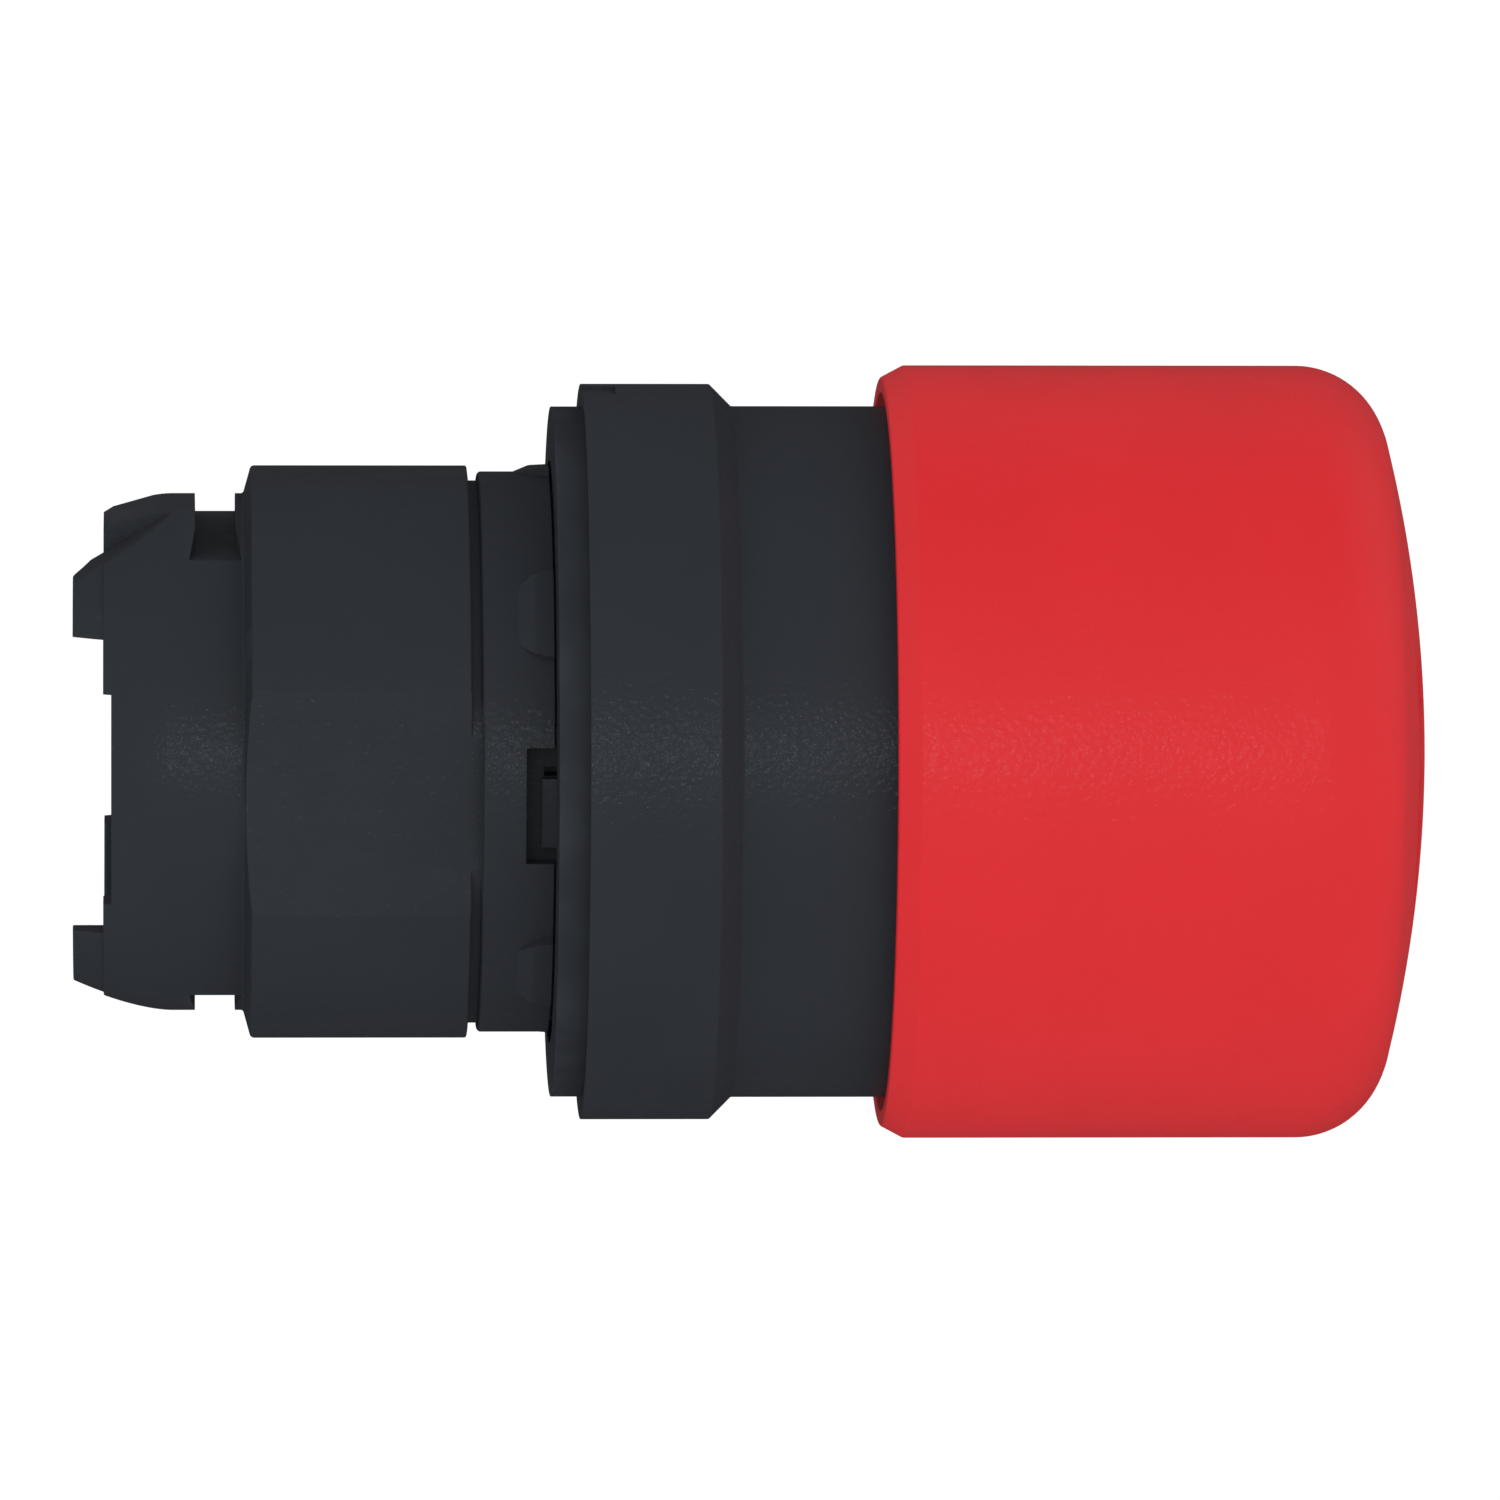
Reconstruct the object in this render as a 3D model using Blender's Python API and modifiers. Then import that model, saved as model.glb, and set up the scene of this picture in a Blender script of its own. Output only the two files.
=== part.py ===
"""Operator head of a 22 mm emergency stop button: a red mushroom cap that latches when it is
pushed and is released by a turn, with its bezel, panel gasket, rear barrel and inner mechanism.

Frame: +X runs along the button's axis towards the operator, +Z is up and -Y is the near side.
The origin is on the axis, in the middle of the head's length. Stations along X are measured from
the panel's front face, where the gasket's rear face rests; PANEL_X is where that face lies in
the frame. Names ending in _X are stations, in _R radii, in _DEG degrees; a pair in an _X name is
(rear, front). Dimensions are in millimetres and are turned into metres by MM.
"""

import math

import bmesh
import bpy
from mathutils import Vector

MM = 0.001

# ---------------------------------------------------------------- shared dimensions
PANEL_X = -7.89

SPINDLE_R = 2.5
PIN_X = 23.6  # cross pin through the cap's hub and the spindle
PIN_R = 0.8
PIN_HALF_LENGTH = 4.6
PIN_HOLE_R = 0.9
PIN_HOLE_REACH = 9.0
CLIP_X = (-7.8, -7.2)

STROKE = 4.5
PAWL_STROKE = 0.8
CONE_SLOPE = PAWL_STROKE / STROKE
CONE_REAR_X = 1.2
SLEEVE_R = 4.45
PAWL_X = 2.0

BARREL_FRONT_X = 6.4
BARREL_REAR_X = -17.1
CAGE_SEAT_X = -2.2

LIP_SEAL_GROOVE_X = (19.2, 20.8)
GLAND_X = (8.1, 9.9)  # from the gland's floor to the front face of the bezel's web

SHELL_STEPS = 40  # facets round the outer shells
INNER_STEPS = 28  # facets round the inner turned pieces
SPINDLE_STEPS = 24
SEAL_STEPS = 20
PIN_STEPS = 12
SHARP_ANGLE = math.radians(35)

# ---------------------------------------------------------------- finishes
RED_PLASTIC = {"colour": (0.68, 0.030, 0.036), "roughness": 0.42, "metallic": 0.0}
BLACK_PLASTIC = {"colour": (0.028, 0.033, 0.040), "roughness": 0.5, "metallic": 0.0}
PALE_PLASTIC = {"colour": (0.62, 0.60, 0.54), "roughness": 0.45, "metallic": 0.0}
GREY_PLASTIC = {"colour": (0.16, 0.17, 0.18), "roughness": 0.5, "metallic": 0.0}
RUBBER = {"colour": (0.015, 0.015, 0.016), "roughness": 0.6, "metallic": 0.0}
BRIGHT_STEEL = {"colour": (0.56, 0.57, 0.58), "roughness": 0.3, "metallic": 1.0}
DULL_STEEL = {**BRIGHT_STEEL, "roughness": 0.35}

# ---------------------------------------------------------------- scene, collections and joints
for old in list(bpy.data.objects):
    bpy.data.objects.remove(old, do_unlink=True)
for old in list(bpy.data.meshes):
    bpy.data.meshes.remove(old)


def new_collection(name):
    collection = bpy.data.collections.new(name)
    bpy.context.scene.collection.children.link(collection)
    return collection


PARTS = new_collection("emergency_stop_button")
CUTTERS = new_collection("cutters")


def axis_empty(name, x=0.0, parent=None):
    """A joint frame on the button's axis, x in front of its parent's frame."""
    empty = bpy.data.objects.new(name, None)
    empty.empty_display_size = 5 * MM
    empty.location = (x * MM, 0, 0)
    PARTS.objects.link(empty)
    empty.parent = parent
    return empty


HOUSING = axis_empty("housing_axis", x=PANEL_X)
PLUNGER = axis_empty("push_axis", parent=HOUSING)
CAP_AXIS = axis_empty("twist_axis", parent=PLUNGER)


def make_material(name, colour, roughness, metallic):
    material = bpy.data.materials.new(name)
    material.use_nodes = True
    shader = material.node_tree.nodes["Principled BSDF"]
    shader.inputs["Base Color"].default_value = (*colour, 1.0)
    shader.inputs["Roughness"].default_value = roughness
    shader.inputs["Metallic"].default_value = metallic
    material.diffuse_color = (*colour, 1.0)
    return material


def finish_part(obj, finish, parent=HOUSING):
    """Hang a part on its joint, with a material of its own."""
    obj.parent = parent
    obj.data.materials.append(make_material(obj.name + "_material", **finish))
    # turned pieces hold only a profile here, and springs are curves
    if obj.type == "MESH" and obj.data.polygons:
        obj.data.shade_smooth()
        obj.data.set_sharp_from_angle(angle=SHARP_ANGLE)


# ---------------------------------------------------------------- profiles
def arc(centre_x, centre_r, radius, start_deg, end_deg, segments):
    """Points round a profile arc; 90 degrees points away from the axis, 0 to the front."""
    points = []
    for k in range(segments + 1):
        angle = math.radians(start_deg + (end_deg - start_deg) * k / segments)
        points.append((centre_x + radius * math.cos(angle), centre_r + radius * math.sin(angle)))
    return points


def crown(apex_x, radius, end_r, segments):
    """A shallow spherical crown from the axis out to end_r."""
    radii = [end_r * k / segments for k in range(segments + 1)]
    return [(apex_x - radius + math.sqrt(radius**2 - r**2), r) for r in radii]


def ring_profile(rear_x, front_x, outer_r, inner_r):
    """The rectangular section of a flat ring."""
    return [(front_x, outer_r), (rear_x, outer_r), (rear_x, inner_r), (front_x, inner_r)]


# ---------------------------------------------------------------- solids
def turned(name, profile, steps=INNER_STEPS, collection=PARTS, closed=True, origin_x=0.0):
    """A turned piece about the X axis, from a profile of (x, r) pairs. An open profile begins
    and ends on the axis. The Screw modifier turns about the object's local Z, which lies along
    the world's X."""
    mesh = bpy.data.meshes.new(name)
    points = [(r * MM, 0.0, (x - origin_x) * MM) for x, r in profile]
    edges = [(i, i + 1) for i in range(len(points) - 1)]
    if closed:
        edges.append((len(points) - 1, 0))
    mesh.from_pydata(points, edges, [])
    obj = bpy.data.objects.new(name, mesh)
    collection.objects.link(obj)
    obj.location = (origin_x * MM, 0, 0)
    obj.rotation_euler = (0, math.pi / 2, 0)
    screw = obj.modifiers.new("Turn", "SCREW")
    screw.axis = "Z"
    screw.angle = math.tau
    screw.steps = screw.render_steps = steps
    screw.use_merge_vertices = True
    screw.merge_threshold = 1e-6
    screw.use_smooth_shade = True
    return obj


def box(name, low, high, rotation=(0, 0, 0), pivot=(0, 0, 0)):
    """A helper box between two corners, rotated (in radians) about its origin at pivot."""
    bpy.ops.mesh.primitive_cube_add(size=1)
    obj = bpy.context.active_object
    obj.name = name
    for other in list(obj.users_collection):
        other.objects.unlink(obj)
    CUTTERS.objects.link(obj)
    size = [(end - start) * MM for start, end in zip(low, high)]
    middle = [(end + start) / 2 * MM for start, end in zip(low, high)]
    pivot = [value * MM for value in pivot]
    for vertex in obj.data.vertices:
        vertex.co = [vertex.co[k] * size[k] + middle[k] - pivot[k] for k in range(3)]
    obj.location = pivot
    obj.rotation_euler = rotation
    return obj


def rod(name, radius, start, end, collection=CUTTERS):
    """A straight round rod between two points, its origin at its middle."""
    start, end = Vector(start) * MM, Vector(end) * MM
    mesh = bpy.data.meshes.new(name)
    builder = bmesh.new()
    bmesh.ops.create_cone(
        builder,
        cap_ends=True,
        segments=PIN_STEPS,
        radius1=radius * MM,
        radius2=radius * MM,
        depth=(end - start).length,
    )
    builder.to_mesh(mesh)
    builder.free()
    obj = bpy.data.objects.new(name, mesh)
    collection.objects.link(obj)
    obj.location = (start + end) / 2
    obj.rotation_euler = (end - start).to_track_quat("Z", "Y").to_euler()
    return obj


def poly_spline(curve, points):
    """Add a straight-sided spline through (x, y, z) points to a curve."""
    spline = curve.splines.new("POLY")
    spline.points.add(len(points) - 1)
    for point, place in zip(spline.points, points):
        point.co = (*(value * MM for value in place), 1)
    return spline


def outline_solid(name, outline, low_z, high_z, collection=CUTTERS):
    """A flat outline of (x, y) points, filled and given a height, as a mesh."""
    curve = bpy.data.curves.new(name + "_outline", "CURVE")
    curve.dimensions = "2D"
    curve.fill_mode = "BOTH"
    curve.extrude = (high_z - low_z) / 2 * MM
    poly_spline(curve, [(x, y, 0) for x, y in outline]).use_cyclic_u = True
    guide = bpy.data.objects.new(name + "_guide", curve)
    collection.objects.link(guide)
    bpy.context.view_layer.update()
    graph = bpy.context.evaluated_depsgraph_get()
    mesh = bpy.data.meshes.new_from_object(guide.evaluated_get(graph))
    bpy.data.objects.remove(guide, do_unlink=True)
    # weld the caps to the sides
    builder = bmesh.new()
    builder.from_mesh(mesh)
    bmesh.ops.remove_doubles(builder, verts=builder.verts, dist=1e-6)
    bmesh.ops.recalc_face_normals(builder, faces=builder.faces)
    builder.to_mesh(mesh)
    builder.free()
    obj = bpy.data.objects.new(name, mesh)
    collection.objects.link(obj)
    obj.location = (0, 0, (low_z + high_z) / 2 * MM)
    return obj


# ---------------------------------------------------------------- booleans
def combine(obj, helper, operation, label):
    """Add a boolean step; its label defaults to the helper's name in plain words."""
    helper.parent = HOUSING
    helper.hide_render = True
    helper.display_type = "WIRE"
    label = label or helper.name.replace("_", " ").capitalize()
    step = obj.modifiers.new(label, "BOOLEAN")
    step.operation = operation
    step.object = helper
    step.solver = "EXACT"


def cut(obj, helper, label=None):
    combine(obj, helper, "DIFFERENCE", label)


def join(obj, helper, label=None):
    combine(obj, helper, "UNION", label)


def keep_inside(obj, helper, label=None):
    combine(obj, helper, "INTERSECT", label)


# ---------------------------------------------------------------- springs
CLOSED_TURNS = 0.9  # at each end of a spring
CLOSED_PITCH_RATIO = 1.06  # pitch of the closed turns over the wire's diameter


def coil(name, radius, wire_r, start, end, turns, per_turn, axis="X", tails=0.0):
    """A spring as one wire: its end coils lie close together and the middle coils share what is
    left. start and end are the wire's centres along the axis, and per_turn is the number of
    points in a turn. tails is how far each end of the wire turns out past the coil."""
    curve = bpy.data.curves.new(name, "CURVE")
    curve.dimensions = "3D"
    curve.bevel_depth = wire_r * MM
    curve.bevel_resolution = 1
    curve.use_fill_caps = True
    length = end - start
    closed_pitch = 2 * wire_r * CLOSED_PITCH_RATIO
    closed_length = CLOSED_TURNS * closed_pitch
    pitch = (length - 2 * closed_length) / (turns - 2 * CLOSED_TURNS)
    points = []
    for i in range(round(turns * per_turn) + 1):
        turn = i / per_turn
        if turn < CLOSED_TURNS:
            along = turn * closed_pitch
        elif turn > turns - CLOSED_TURNS:
            along = length - (turns - turn) * closed_pitch
        else:
            along = closed_length + (turn - CLOSED_TURNS) * pitch
        angle = math.tau * turn
        points.append((start + along, radius * math.cos(angle), radius * math.sin(angle)))
    if tails:
        reach = 1 + tails / radius
        first, last = [(along, y * reach, z * reach) for along, y, z in (points[0], points[-1])]
        points = [first, *points, last]
    if axis == "Z":
        points = [(across, up, along) for along, across, up in points]
    poly_spline(curve, points)
    obj = bpy.data.objects.new(name, curve)
    PARTS.objects.link(obj)
    return obj


# ---------------------------------------------------------------- mushroom cap
CAP_R = 15.0  # 30 mm mushroom
CAP_WALL = 1.3
CAP_BORE_R = CAP_R - CAP_WALL
CAP_RIM_X = 13.01
CAP_RIM_R = 14.53
CAP_CHAMFER_X = 13.89
CAP_APEX_X = 34.05
CAP_CORNER_R = 3.45
CAP_CORNER_X = 29.14
CROWN_R = 49.5
CROWN_END_DEG = 14.2  # where the crown meets the corner's arc


def build_mushroom_cap():
    corner_centre_r = CAP_R - CAP_CORNER_R
    inner_corner_r = CAP_BORE_R - corner_centre_r
    crown_end_sine = math.sin(math.radians(CROWN_END_DEG))
    outer_edge = corner_centre_r + CAP_CORNER_R * crown_end_sine
    inner_edge = corner_centre_r + inner_corner_r * crown_end_sine
    outer = [
        *crown(CAP_APEX_X, CROWN_R, outer_edge, 5),
        *arc(CAP_CORNER_X, corner_centre_r, CAP_CORNER_R, CROWN_END_DEG, 90, 6)[1:],
        (CAP_CHAMFER_X, CAP_R),
        (CAP_RIM_X, CAP_RIM_R),
    ]
    inner = [
        (CAP_RIM_X, CAP_BORE_R + 0.25),
        (CAP_RIM_X + 0.35, CAP_BORE_R),
        *arc(CAP_CORNER_X, corner_centre_r, inner_corner_r, 90, CROWN_END_DEG, 4)[:-1],
        *crown(CAP_APEX_X - CAP_WALL, CROWN_R - CAP_WALL, inner_edge, 3)[::-1],
    ]
    cap = turned("mushroom_cap", outer + inner, SHELL_STEPS, closed=False, origin_x=CAP_RIM_X)
    finish_part(cap, RED_PLASTIC, CAP_AXIS)


# ---------------------------------------------------------------- cap hub, spindle, pin and clip
HUB_X = (26.8, 28.3)  # the hub's disc
HUB_R = 13.4
HUB_CHAMFER = 0.3
HUB_FRONT_X = 32.1
HUB_BORE_R = 2.8
FRONT_BOSS_R = 5.0
REAR_BOSS_R = 4.8
REAR_BOSS_X = 21.0
HUB_RIBS = 3
CLIP_PLAY = 0.2  # between the clip and each side of its groove


def pin_hole(name):
    return rod(name, PIN_HOLE_R, (PIN_X, 0, -PIN_HOLE_REACH), (PIN_X, 0, PIN_HOLE_REACH))


def build_cap_hub():
    rear_x, front_x = HUB_X
    profile = [
        (HUB_FRONT_X, FRONT_BOSS_R),
        (front_x, FRONT_BOSS_R),
        (front_x, HUB_R - HUB_CHAMFER),
        (front_x - HUB_CHAMFER, HUB_R),
        (rear_x, HUB_R),
        (rear_x, REAR_BOSS_R),
        (REAR_BOSS_X, REAR_BOSS_R),
        (REAR_BOSS_X, HUB_BORE_R),
        (HUB_FRONT_X, HUB_BORE_R),
    ]
    hub = turned("cap_hub", profile, origin_x=rear_x)
    for k in range(HUB_RIBS):
        # ribs on the front of the disc, from the boss towards the edge, the first one upwards
        angle = k * math.tau / HUB_RIBS + math.pi / 2
        rib = box("hub_rib_%d" % k, (28.0, 4.2, -0.6), (30.4, 11.6, 0.6), rotation=(angle, 0, 0))
        join(hub, rib, "Rib %d" % k)
    cut(hub, pin_hole("hub_pin_hole"), "Pin hole")
    finish_part(hub, GREY_PLASTIC, CAP_AXIS)


def build_spindle():
    groove_rear_x = CLIP_X[0] - CLIP_PLAY
    groove_front_x = CLIP_X[1] + CLIP_PLAY
    profile = [
        (31.5, 0.0),
        (31.5, 2.1),
        (31.1, SPINDLE_R),
        (groove_front_x, SPINDLE_R),
        (groove_front_x, 2.0),
        (groove_rear_x, 2.0),
        (groove_rear_x, SPINDLE_R),
        (-8.3, SPINDLE_R),
        (-8.6, 2.2),
        (-8.6, 0.0),
    ]
    spindle = turned("spindle", profile, SPINDLE_STEPS, closed=False)
    cut(spindle, pin_hole("spindle_pin_hole"), "Pin hole")
    finish_part(spindle, BRIGHT_STEEL, CAP_AXIS)


def build_hub_pin():
    bottom, top = (PIN_X, 0, -PIN_HALF_LENGTH), (PIN_X, 0, PIN_HALF_LENGTH)
    finish_part(rod("hub_pin", PIN_R, bottom, top, PARTS), BRIGHT_STEEL, CAP_AXIS)


def build_spindle_clip():
    clip = turned("spindle_clip", ring_profile(*CLIP_X, 4.0, 2.3), SPINDLE_STEPS)
    cut(clip, box("clip_gap", (-9, -6, -1.5), (-6, -1, 1.5)))
    finish_part(clip, DULL_STEEL, CAP_AXIS)


# ---------------------------------------------------------------- cam sleeve
SLEEVE_X = (-6.7, 15.0)
SLEEVE_BORE_R = 2.6
SLEEVE_NOSE_R = 3.36
SLEEVE_NOSE_CHAMFER = 0.3
SLEEVE_FLANGE_X = (-3.6, -2.2)
SLEEVE_FLANGE_R = 5.5
SLEEVE_TAIL_R = 3.6


def build_cam_sleeve():
    rear_x, front_x = SLEEVE_X
    flange_rear_x, flange_front_x = SLEEVE_FLANGE_X
    profile = [
        (front_x, SLEEVE_NOSE_R - SLEEVE_NOSE_CHAMFER),
        (front_x - SLEEVE_NOSE_CHAMFER, SLEEVE_NOSE_R),
        (CONE_REAR_X + (SLEEVE_R - SLEEVE_NOSE_R) / CONE_SLOPE, SLEEVE_NOSE_R),
        (CONE_REAR_X, SLEEVE_R),
        (flange_front_x, SLEEVE_R),
        (flange_front_x, SLEEVE_FLANGE_R),
        (flange_rear_x, SLEEVE_FLANGE_R),
        (flange_rear_x, SLEEVE_TAIL_R),
        (rear_x, SLEEVE_TAIL_R),
        (rear_x, SLEEVE_BORE_R),
        (front_x, SLEEVE_BORE_R),
    ]
    finish_part(turned("cam_sleeve", profile, origin_x=rear_x), PALE_PLASTIC, PLUNGER)


# ---------------------------------------------------------------- latch cage, pawls, pawl springs
CAGE_X = (-1.9, BARREL_FRONT_X)
CAGE_R = 8.7
CAGE_BORE_R = 4.75
CAGE_CHAMFER = 0.3
POCKET_HALF_W = 1.6
PAWL_HALF_W = 1.4
PAWL_OUTER_Z = 6.35
PAWL_TIP_GAP = 0.1


def build_latch_cage():
    rear_x, front_x = CAGE_X
    profile = [
        (front_x, CAGE_R - CAGE_CHAMFER),
        (front_x - CAGE_CHAMFER, CAGE_R),
        (rear_x + CAGE_CHAMFER, CAGE_R),
        (rear_x, CAGE_R - CAGE_CHAMFER),
        (rear_x, CAGE_BORE_R),
        (front_x, CAGE_BORE_R),
    ]
    cage = turned("latch_cage", profile, origin_x=rear_x)
    low = (PAWL_X - POCKET_HALF_W, -POCKET_HALF_W, -12)
    high = (PAWL_X + POCKET_HALF_W, POCKET_HALF_W, 12)
    cut(cage, box("pawl_pockets", low, high))
    finish_part(cage, GREY_PLASTIC)


def build_latch_pawl(name, side):
    """A square slide whose tip is cut to the slope of the latch cone; side is 1 up, -1 down."""
    rear_tip = SLEEVE_R - CONE_SLOPE * (PAWL_X - PAWL_HALF_W - CONE_REAR_X) + PAWL_TIP_GAP
    outline = [
        (-PAWL_HALF_W, PAWL_OUTER_Z),
        (PAWL_HALF_W, PAWL_OUTER_Z),
        (PAWL_HALF_W, rear_tip - CONE_SLOPE * 2 * PAWL_HALF_W),
        (-PAWL_HALF_W, rear_tip),
    ]
    pawl = outline_solid("latch_pawl_" + name, outline, -PAWL_HALF_W, PAWL_HALF_W, PARTS)
    # the outline lies in XY and is stood up into XZ, on the pawl's own slide axis
    pawl.location = (PAWL_X * MM, 0, 0)
    pawl.rotation_euler = (side * math.pi / 2, 0, 0)
    finish_part(pawl, PALE_PLASTIC)


def build_pawl_spring(name, side):
    spring = coil(
        "pawl_spring_" + name,
        radius=0.95, wire_r=0.2, start=6.85, end=8.55, turns=3.2, per_turn=8, axis="Z",
    )
    spring.location = (PAWL_X * MM, 0, 0)
    spring.rotation_euler = (0 if side > 0 else math.pi, 0, 0)
    finish_part(spring, BRIGHT_STEEL)


# ---------------------------------------------------------------- front bezel: ring, neck and web
BEZEL_R = 14.27
BEZEL_REAR_X = 1.36
BEZEL_REAR_CHAMFER = 0.12
BEZEL_FRONT_X = 6.34
BEZEL_CHAMFER_X = 7.19
NECK_R = 13.41
NECK_BORE_R = 12.2
NECK_FRONT_X = 21.8
NECK_CHAMFER = 0.4
LIP_SEAL_GROOVE_R = 12.86
WEB_REAR_X = 6.9
WEB_BORE_R = 3.65
GLAND_R = 5.4
SOCKET_R = 10.0
SOCKET_GROOVE_X = (2.9, 4.9)
SOCKET_GROOVE_R = SOCKET_R + 0.35
# (x, r) section of the key that reaches back into the window of the barrel's collar
KEY_SECTION = [(1.5, 10.6), (-0.41, 10.37), (-0.41, 9.3), (3.0, 9.3), (3.0, 10.6)]


def build_front_bezel():
    profile = [
        (NECK_FRONT_X, NECK_R - NECK_CHAMFER),
        (NECK_FRONT_X - NECK_CHAMFER, NECK_R),
        (LIP_SEAL_GROOVE_X[1], NECK_R),
        (LIP_SEAL_GROOVE_X[1], LIP_SEAL_GROOVE_R),
        (LIP_SEAL_GROOVE_X[0], LIP_SEAL_GROOVE_R),
        (LIP_SEAL_GROOVE_X[0], NECK_R),
        (BEZEL_CHAMFER_X, NECK_R),
        (BEZEL_FRONT_X, BEZEL_R),
        (BEZEL_REAR_X + BEZEL_REAR_CHAMFER, BEZEL_R),
        (BEZEL_REAR_X, BEZEL_R - BEZEL_REAR_CHAMFER),
        (BEZEL_REAR_X, SOCKET_R),
        (SOCKET_GROOVE_X[0], SOCKET_R),
        (SOCKET_GROOVE_X[0], SOCKET_GROOVE_R),
        (SOCKET_GROOVE_X[1], SOCKET_GROOVE_R),
        (SOCKET_GROOVE_X[1], SOCKET_R),
        (WEB_REAR_X, SOCKET_R),
        (WEB_REAR_X, WEB_BORE_R),
        (GLAND_X[0], WEB_BORE_R),
        (GLAND_X[0], GLAND_R),
        (GLAND_X[1], GLAND_R),
        (GLAND_X[1], NECK_BORE_R),
        (NECK_FRONT_X, NECK_BORE_R),
    ]
    bezel = turned("front_bezel", profile, SHELL_STEPS, origin_x=BEZEL_REAR_X)
    key = turned("key_ring", KEY_SECTION, SHELL_STEPS, CUTTERS)
    keep_inside(key, box("key_sector", (-3, -12, -1.85), (4, -6, 0.88)), "One key")
    join(bezel, key, "Key")
    cut(bezel, box("bezel_mark", (0.9, -0.86, 14.12), (2.64, 0.86, 16)), "Top mark")
    finish_part(bezel, BLACK_PLASTIC)


# ---------------------------------------------------------------- panel gasket and seals
GASKET_R = 13.39
GASKET_BORE_R = 11.3
GASKET_FLAT_R = 12.6
GASKET_FRONT_X = 1.26


def build_panel_gasket():
    profile = [
        (GASKET_FRONT_X, GASKET_R),
        (0.21, GASKET_R),
        (0.0, GASKET_FLAT_R),
        (0.0, GASKET_BORE_R),
        (GASKET_FRONT_X, GASKET_BORE_R),
    ]
    finish_part(turned("panel_gasket", profile, SHELL_STEPS), RUBBER)


def build_cap_lip_seal():
    middle_x = sum(LIP_SEAL_GROOVE_X) / 2
    profile = [(20.55, 13.3), (middle_x, 13.62), (19.45, 13.3), (19.45, 13.05), (20.55, 13.05)]
    finish_part(turned("cap_lip_seal", profile, SHELL_STEPS, origin_x=middle_x), RUBBER)


def build_spindle_seal():
    """A ring of octagonal section in the middle of the bezel's gland."""
    middle_x = sum(GLAND_X) / 2
    section = arc(middle_x, 4.35, 0.7, 67.5, 67.5 + 315, 7)
    finish_part(turned("spindle_seal", section, SEAL_STEPS, origin_x=middle_x), RUBBER)


# ---------------------------------------------------------------- return and torsion springs
WASHER_X = (10.2, 10.7)


def build_spring_seat_washer():
    profile = ring_profile(*WASHER_X, 7.4, 3.9)
    finish_part(turned("spring_seat_washer", profile, origin_x=WASHER_X[0]), DULL_STEEL)


def build_return_spring():
    spring = coil(
        "return_spring",
        radius=6.1, wire_r=0.5, start=11.55, end=26.0, turns=6.5, per_turn=12,
    )
    finish_part(spring, BRIGHT_STEEL)


def build_torsion_spring():
    spring = coil(
        "torsion_spring",
        radius=3.75, wire_r=0.36, start=15.7, end=20.3, turns=5.25, per_turn=10, tails=0.7,
    )
    finish_part(spring, BRIGHT_STEEL, PLUNGER)


# ---------------------------------------------------------------- barrel
BARREL_R = 11.1  # passes a 22.3 mm panel hole
COLLAR_R = 10.87
GROOVE_R = 10.52
FLANGE_R = 10.02
SPIGOT_R = 9.85
SPIGOT_BEAD_R = SPIGOT_R + 0.3
BARREL_BORE_R = 7.6
CAGE_SEAT_R = 9.0
RETAINER_SEAT_X = -15.6
RETAINER_SEAT_R = 8.1
TAIL_FRONT_X = -14.5
TAIL_STATIONS = [TAIL_FRONT_X, -15.2, -15.9, -16.5, BARREL_REAR_X]

# (x, r) section of the bumps on the collar
BUMP_SECTION = [
    (0.8, 11.16), (-0.66, 11.12), (-1.3, 10.84), (-1.85, 10.8), (-1.85, 9.6), (0.8, 9.6),
]
BUMP_HALF_W = 1.85
# measured from the near side, -Y, towards +Z; the window lies between the last and the first
BUMP_DEG = (40, 100, 160, 200, 260, 320)

LEG_REAR_X = -18.27
LEG_FRONT_X = -15.3
LEG_BORE_R = 8.2
LEG_INSET = 0.12
LEG_STATIONS = [LEG_FRONT_X, -16.25, -17.25, -17.8, LEG_REAR_X]

TOP_FLAT_Z = 10.97
REAR_FLAT_Z = 9.89
REAR_SLOPE_DEG = 15.0
SIDE_FLAT_Y = 10.2
# box cutters for the locating flats: name, low corner, high corner
FLATS = [
    ("top_flat", (-12, -5, TOP_FLAT_Z), (-2.0, 5, 14)),
    ("near_flat", (-12, -14, -6), (-2.59, -SIDE_FLAT_Y, 6)),
    ("far_flat", (-12, SIDE_FLAT_Y, -6), (-2.59, 14, 6)),
    ("rear_top_flat", (-18.6, -3, REAR_FLAT_Z), (-11.76, 3, 14)),
]

SLOT_X = (-13.57, -12.02)
SLOT_FLOOR_Z = 8.52
SLOT_FLARE = 0.62
SLOT_STRAIGHT_HALF_W = 3.4
SLOT_HALF_W = 8.5

RAMP_REAR_Z = 8.23
RAMP_DEG = 30.8
RIB_HALF_W = 2.0
WINDOW_HALF_Z = 2.25
WINDOW_REAR_X = -0.98


def tail_radius(x):
    """Outer radius of the barrel's rear end: it curves in towards the rim and on into the legs."""
    along = max(0.0, (TAIL_FRONT_X - x) / (TAIL_FRONT_X - BARREL_REAR_X))
    return FLANGE_R - 0.58 * along**1.6


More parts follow.
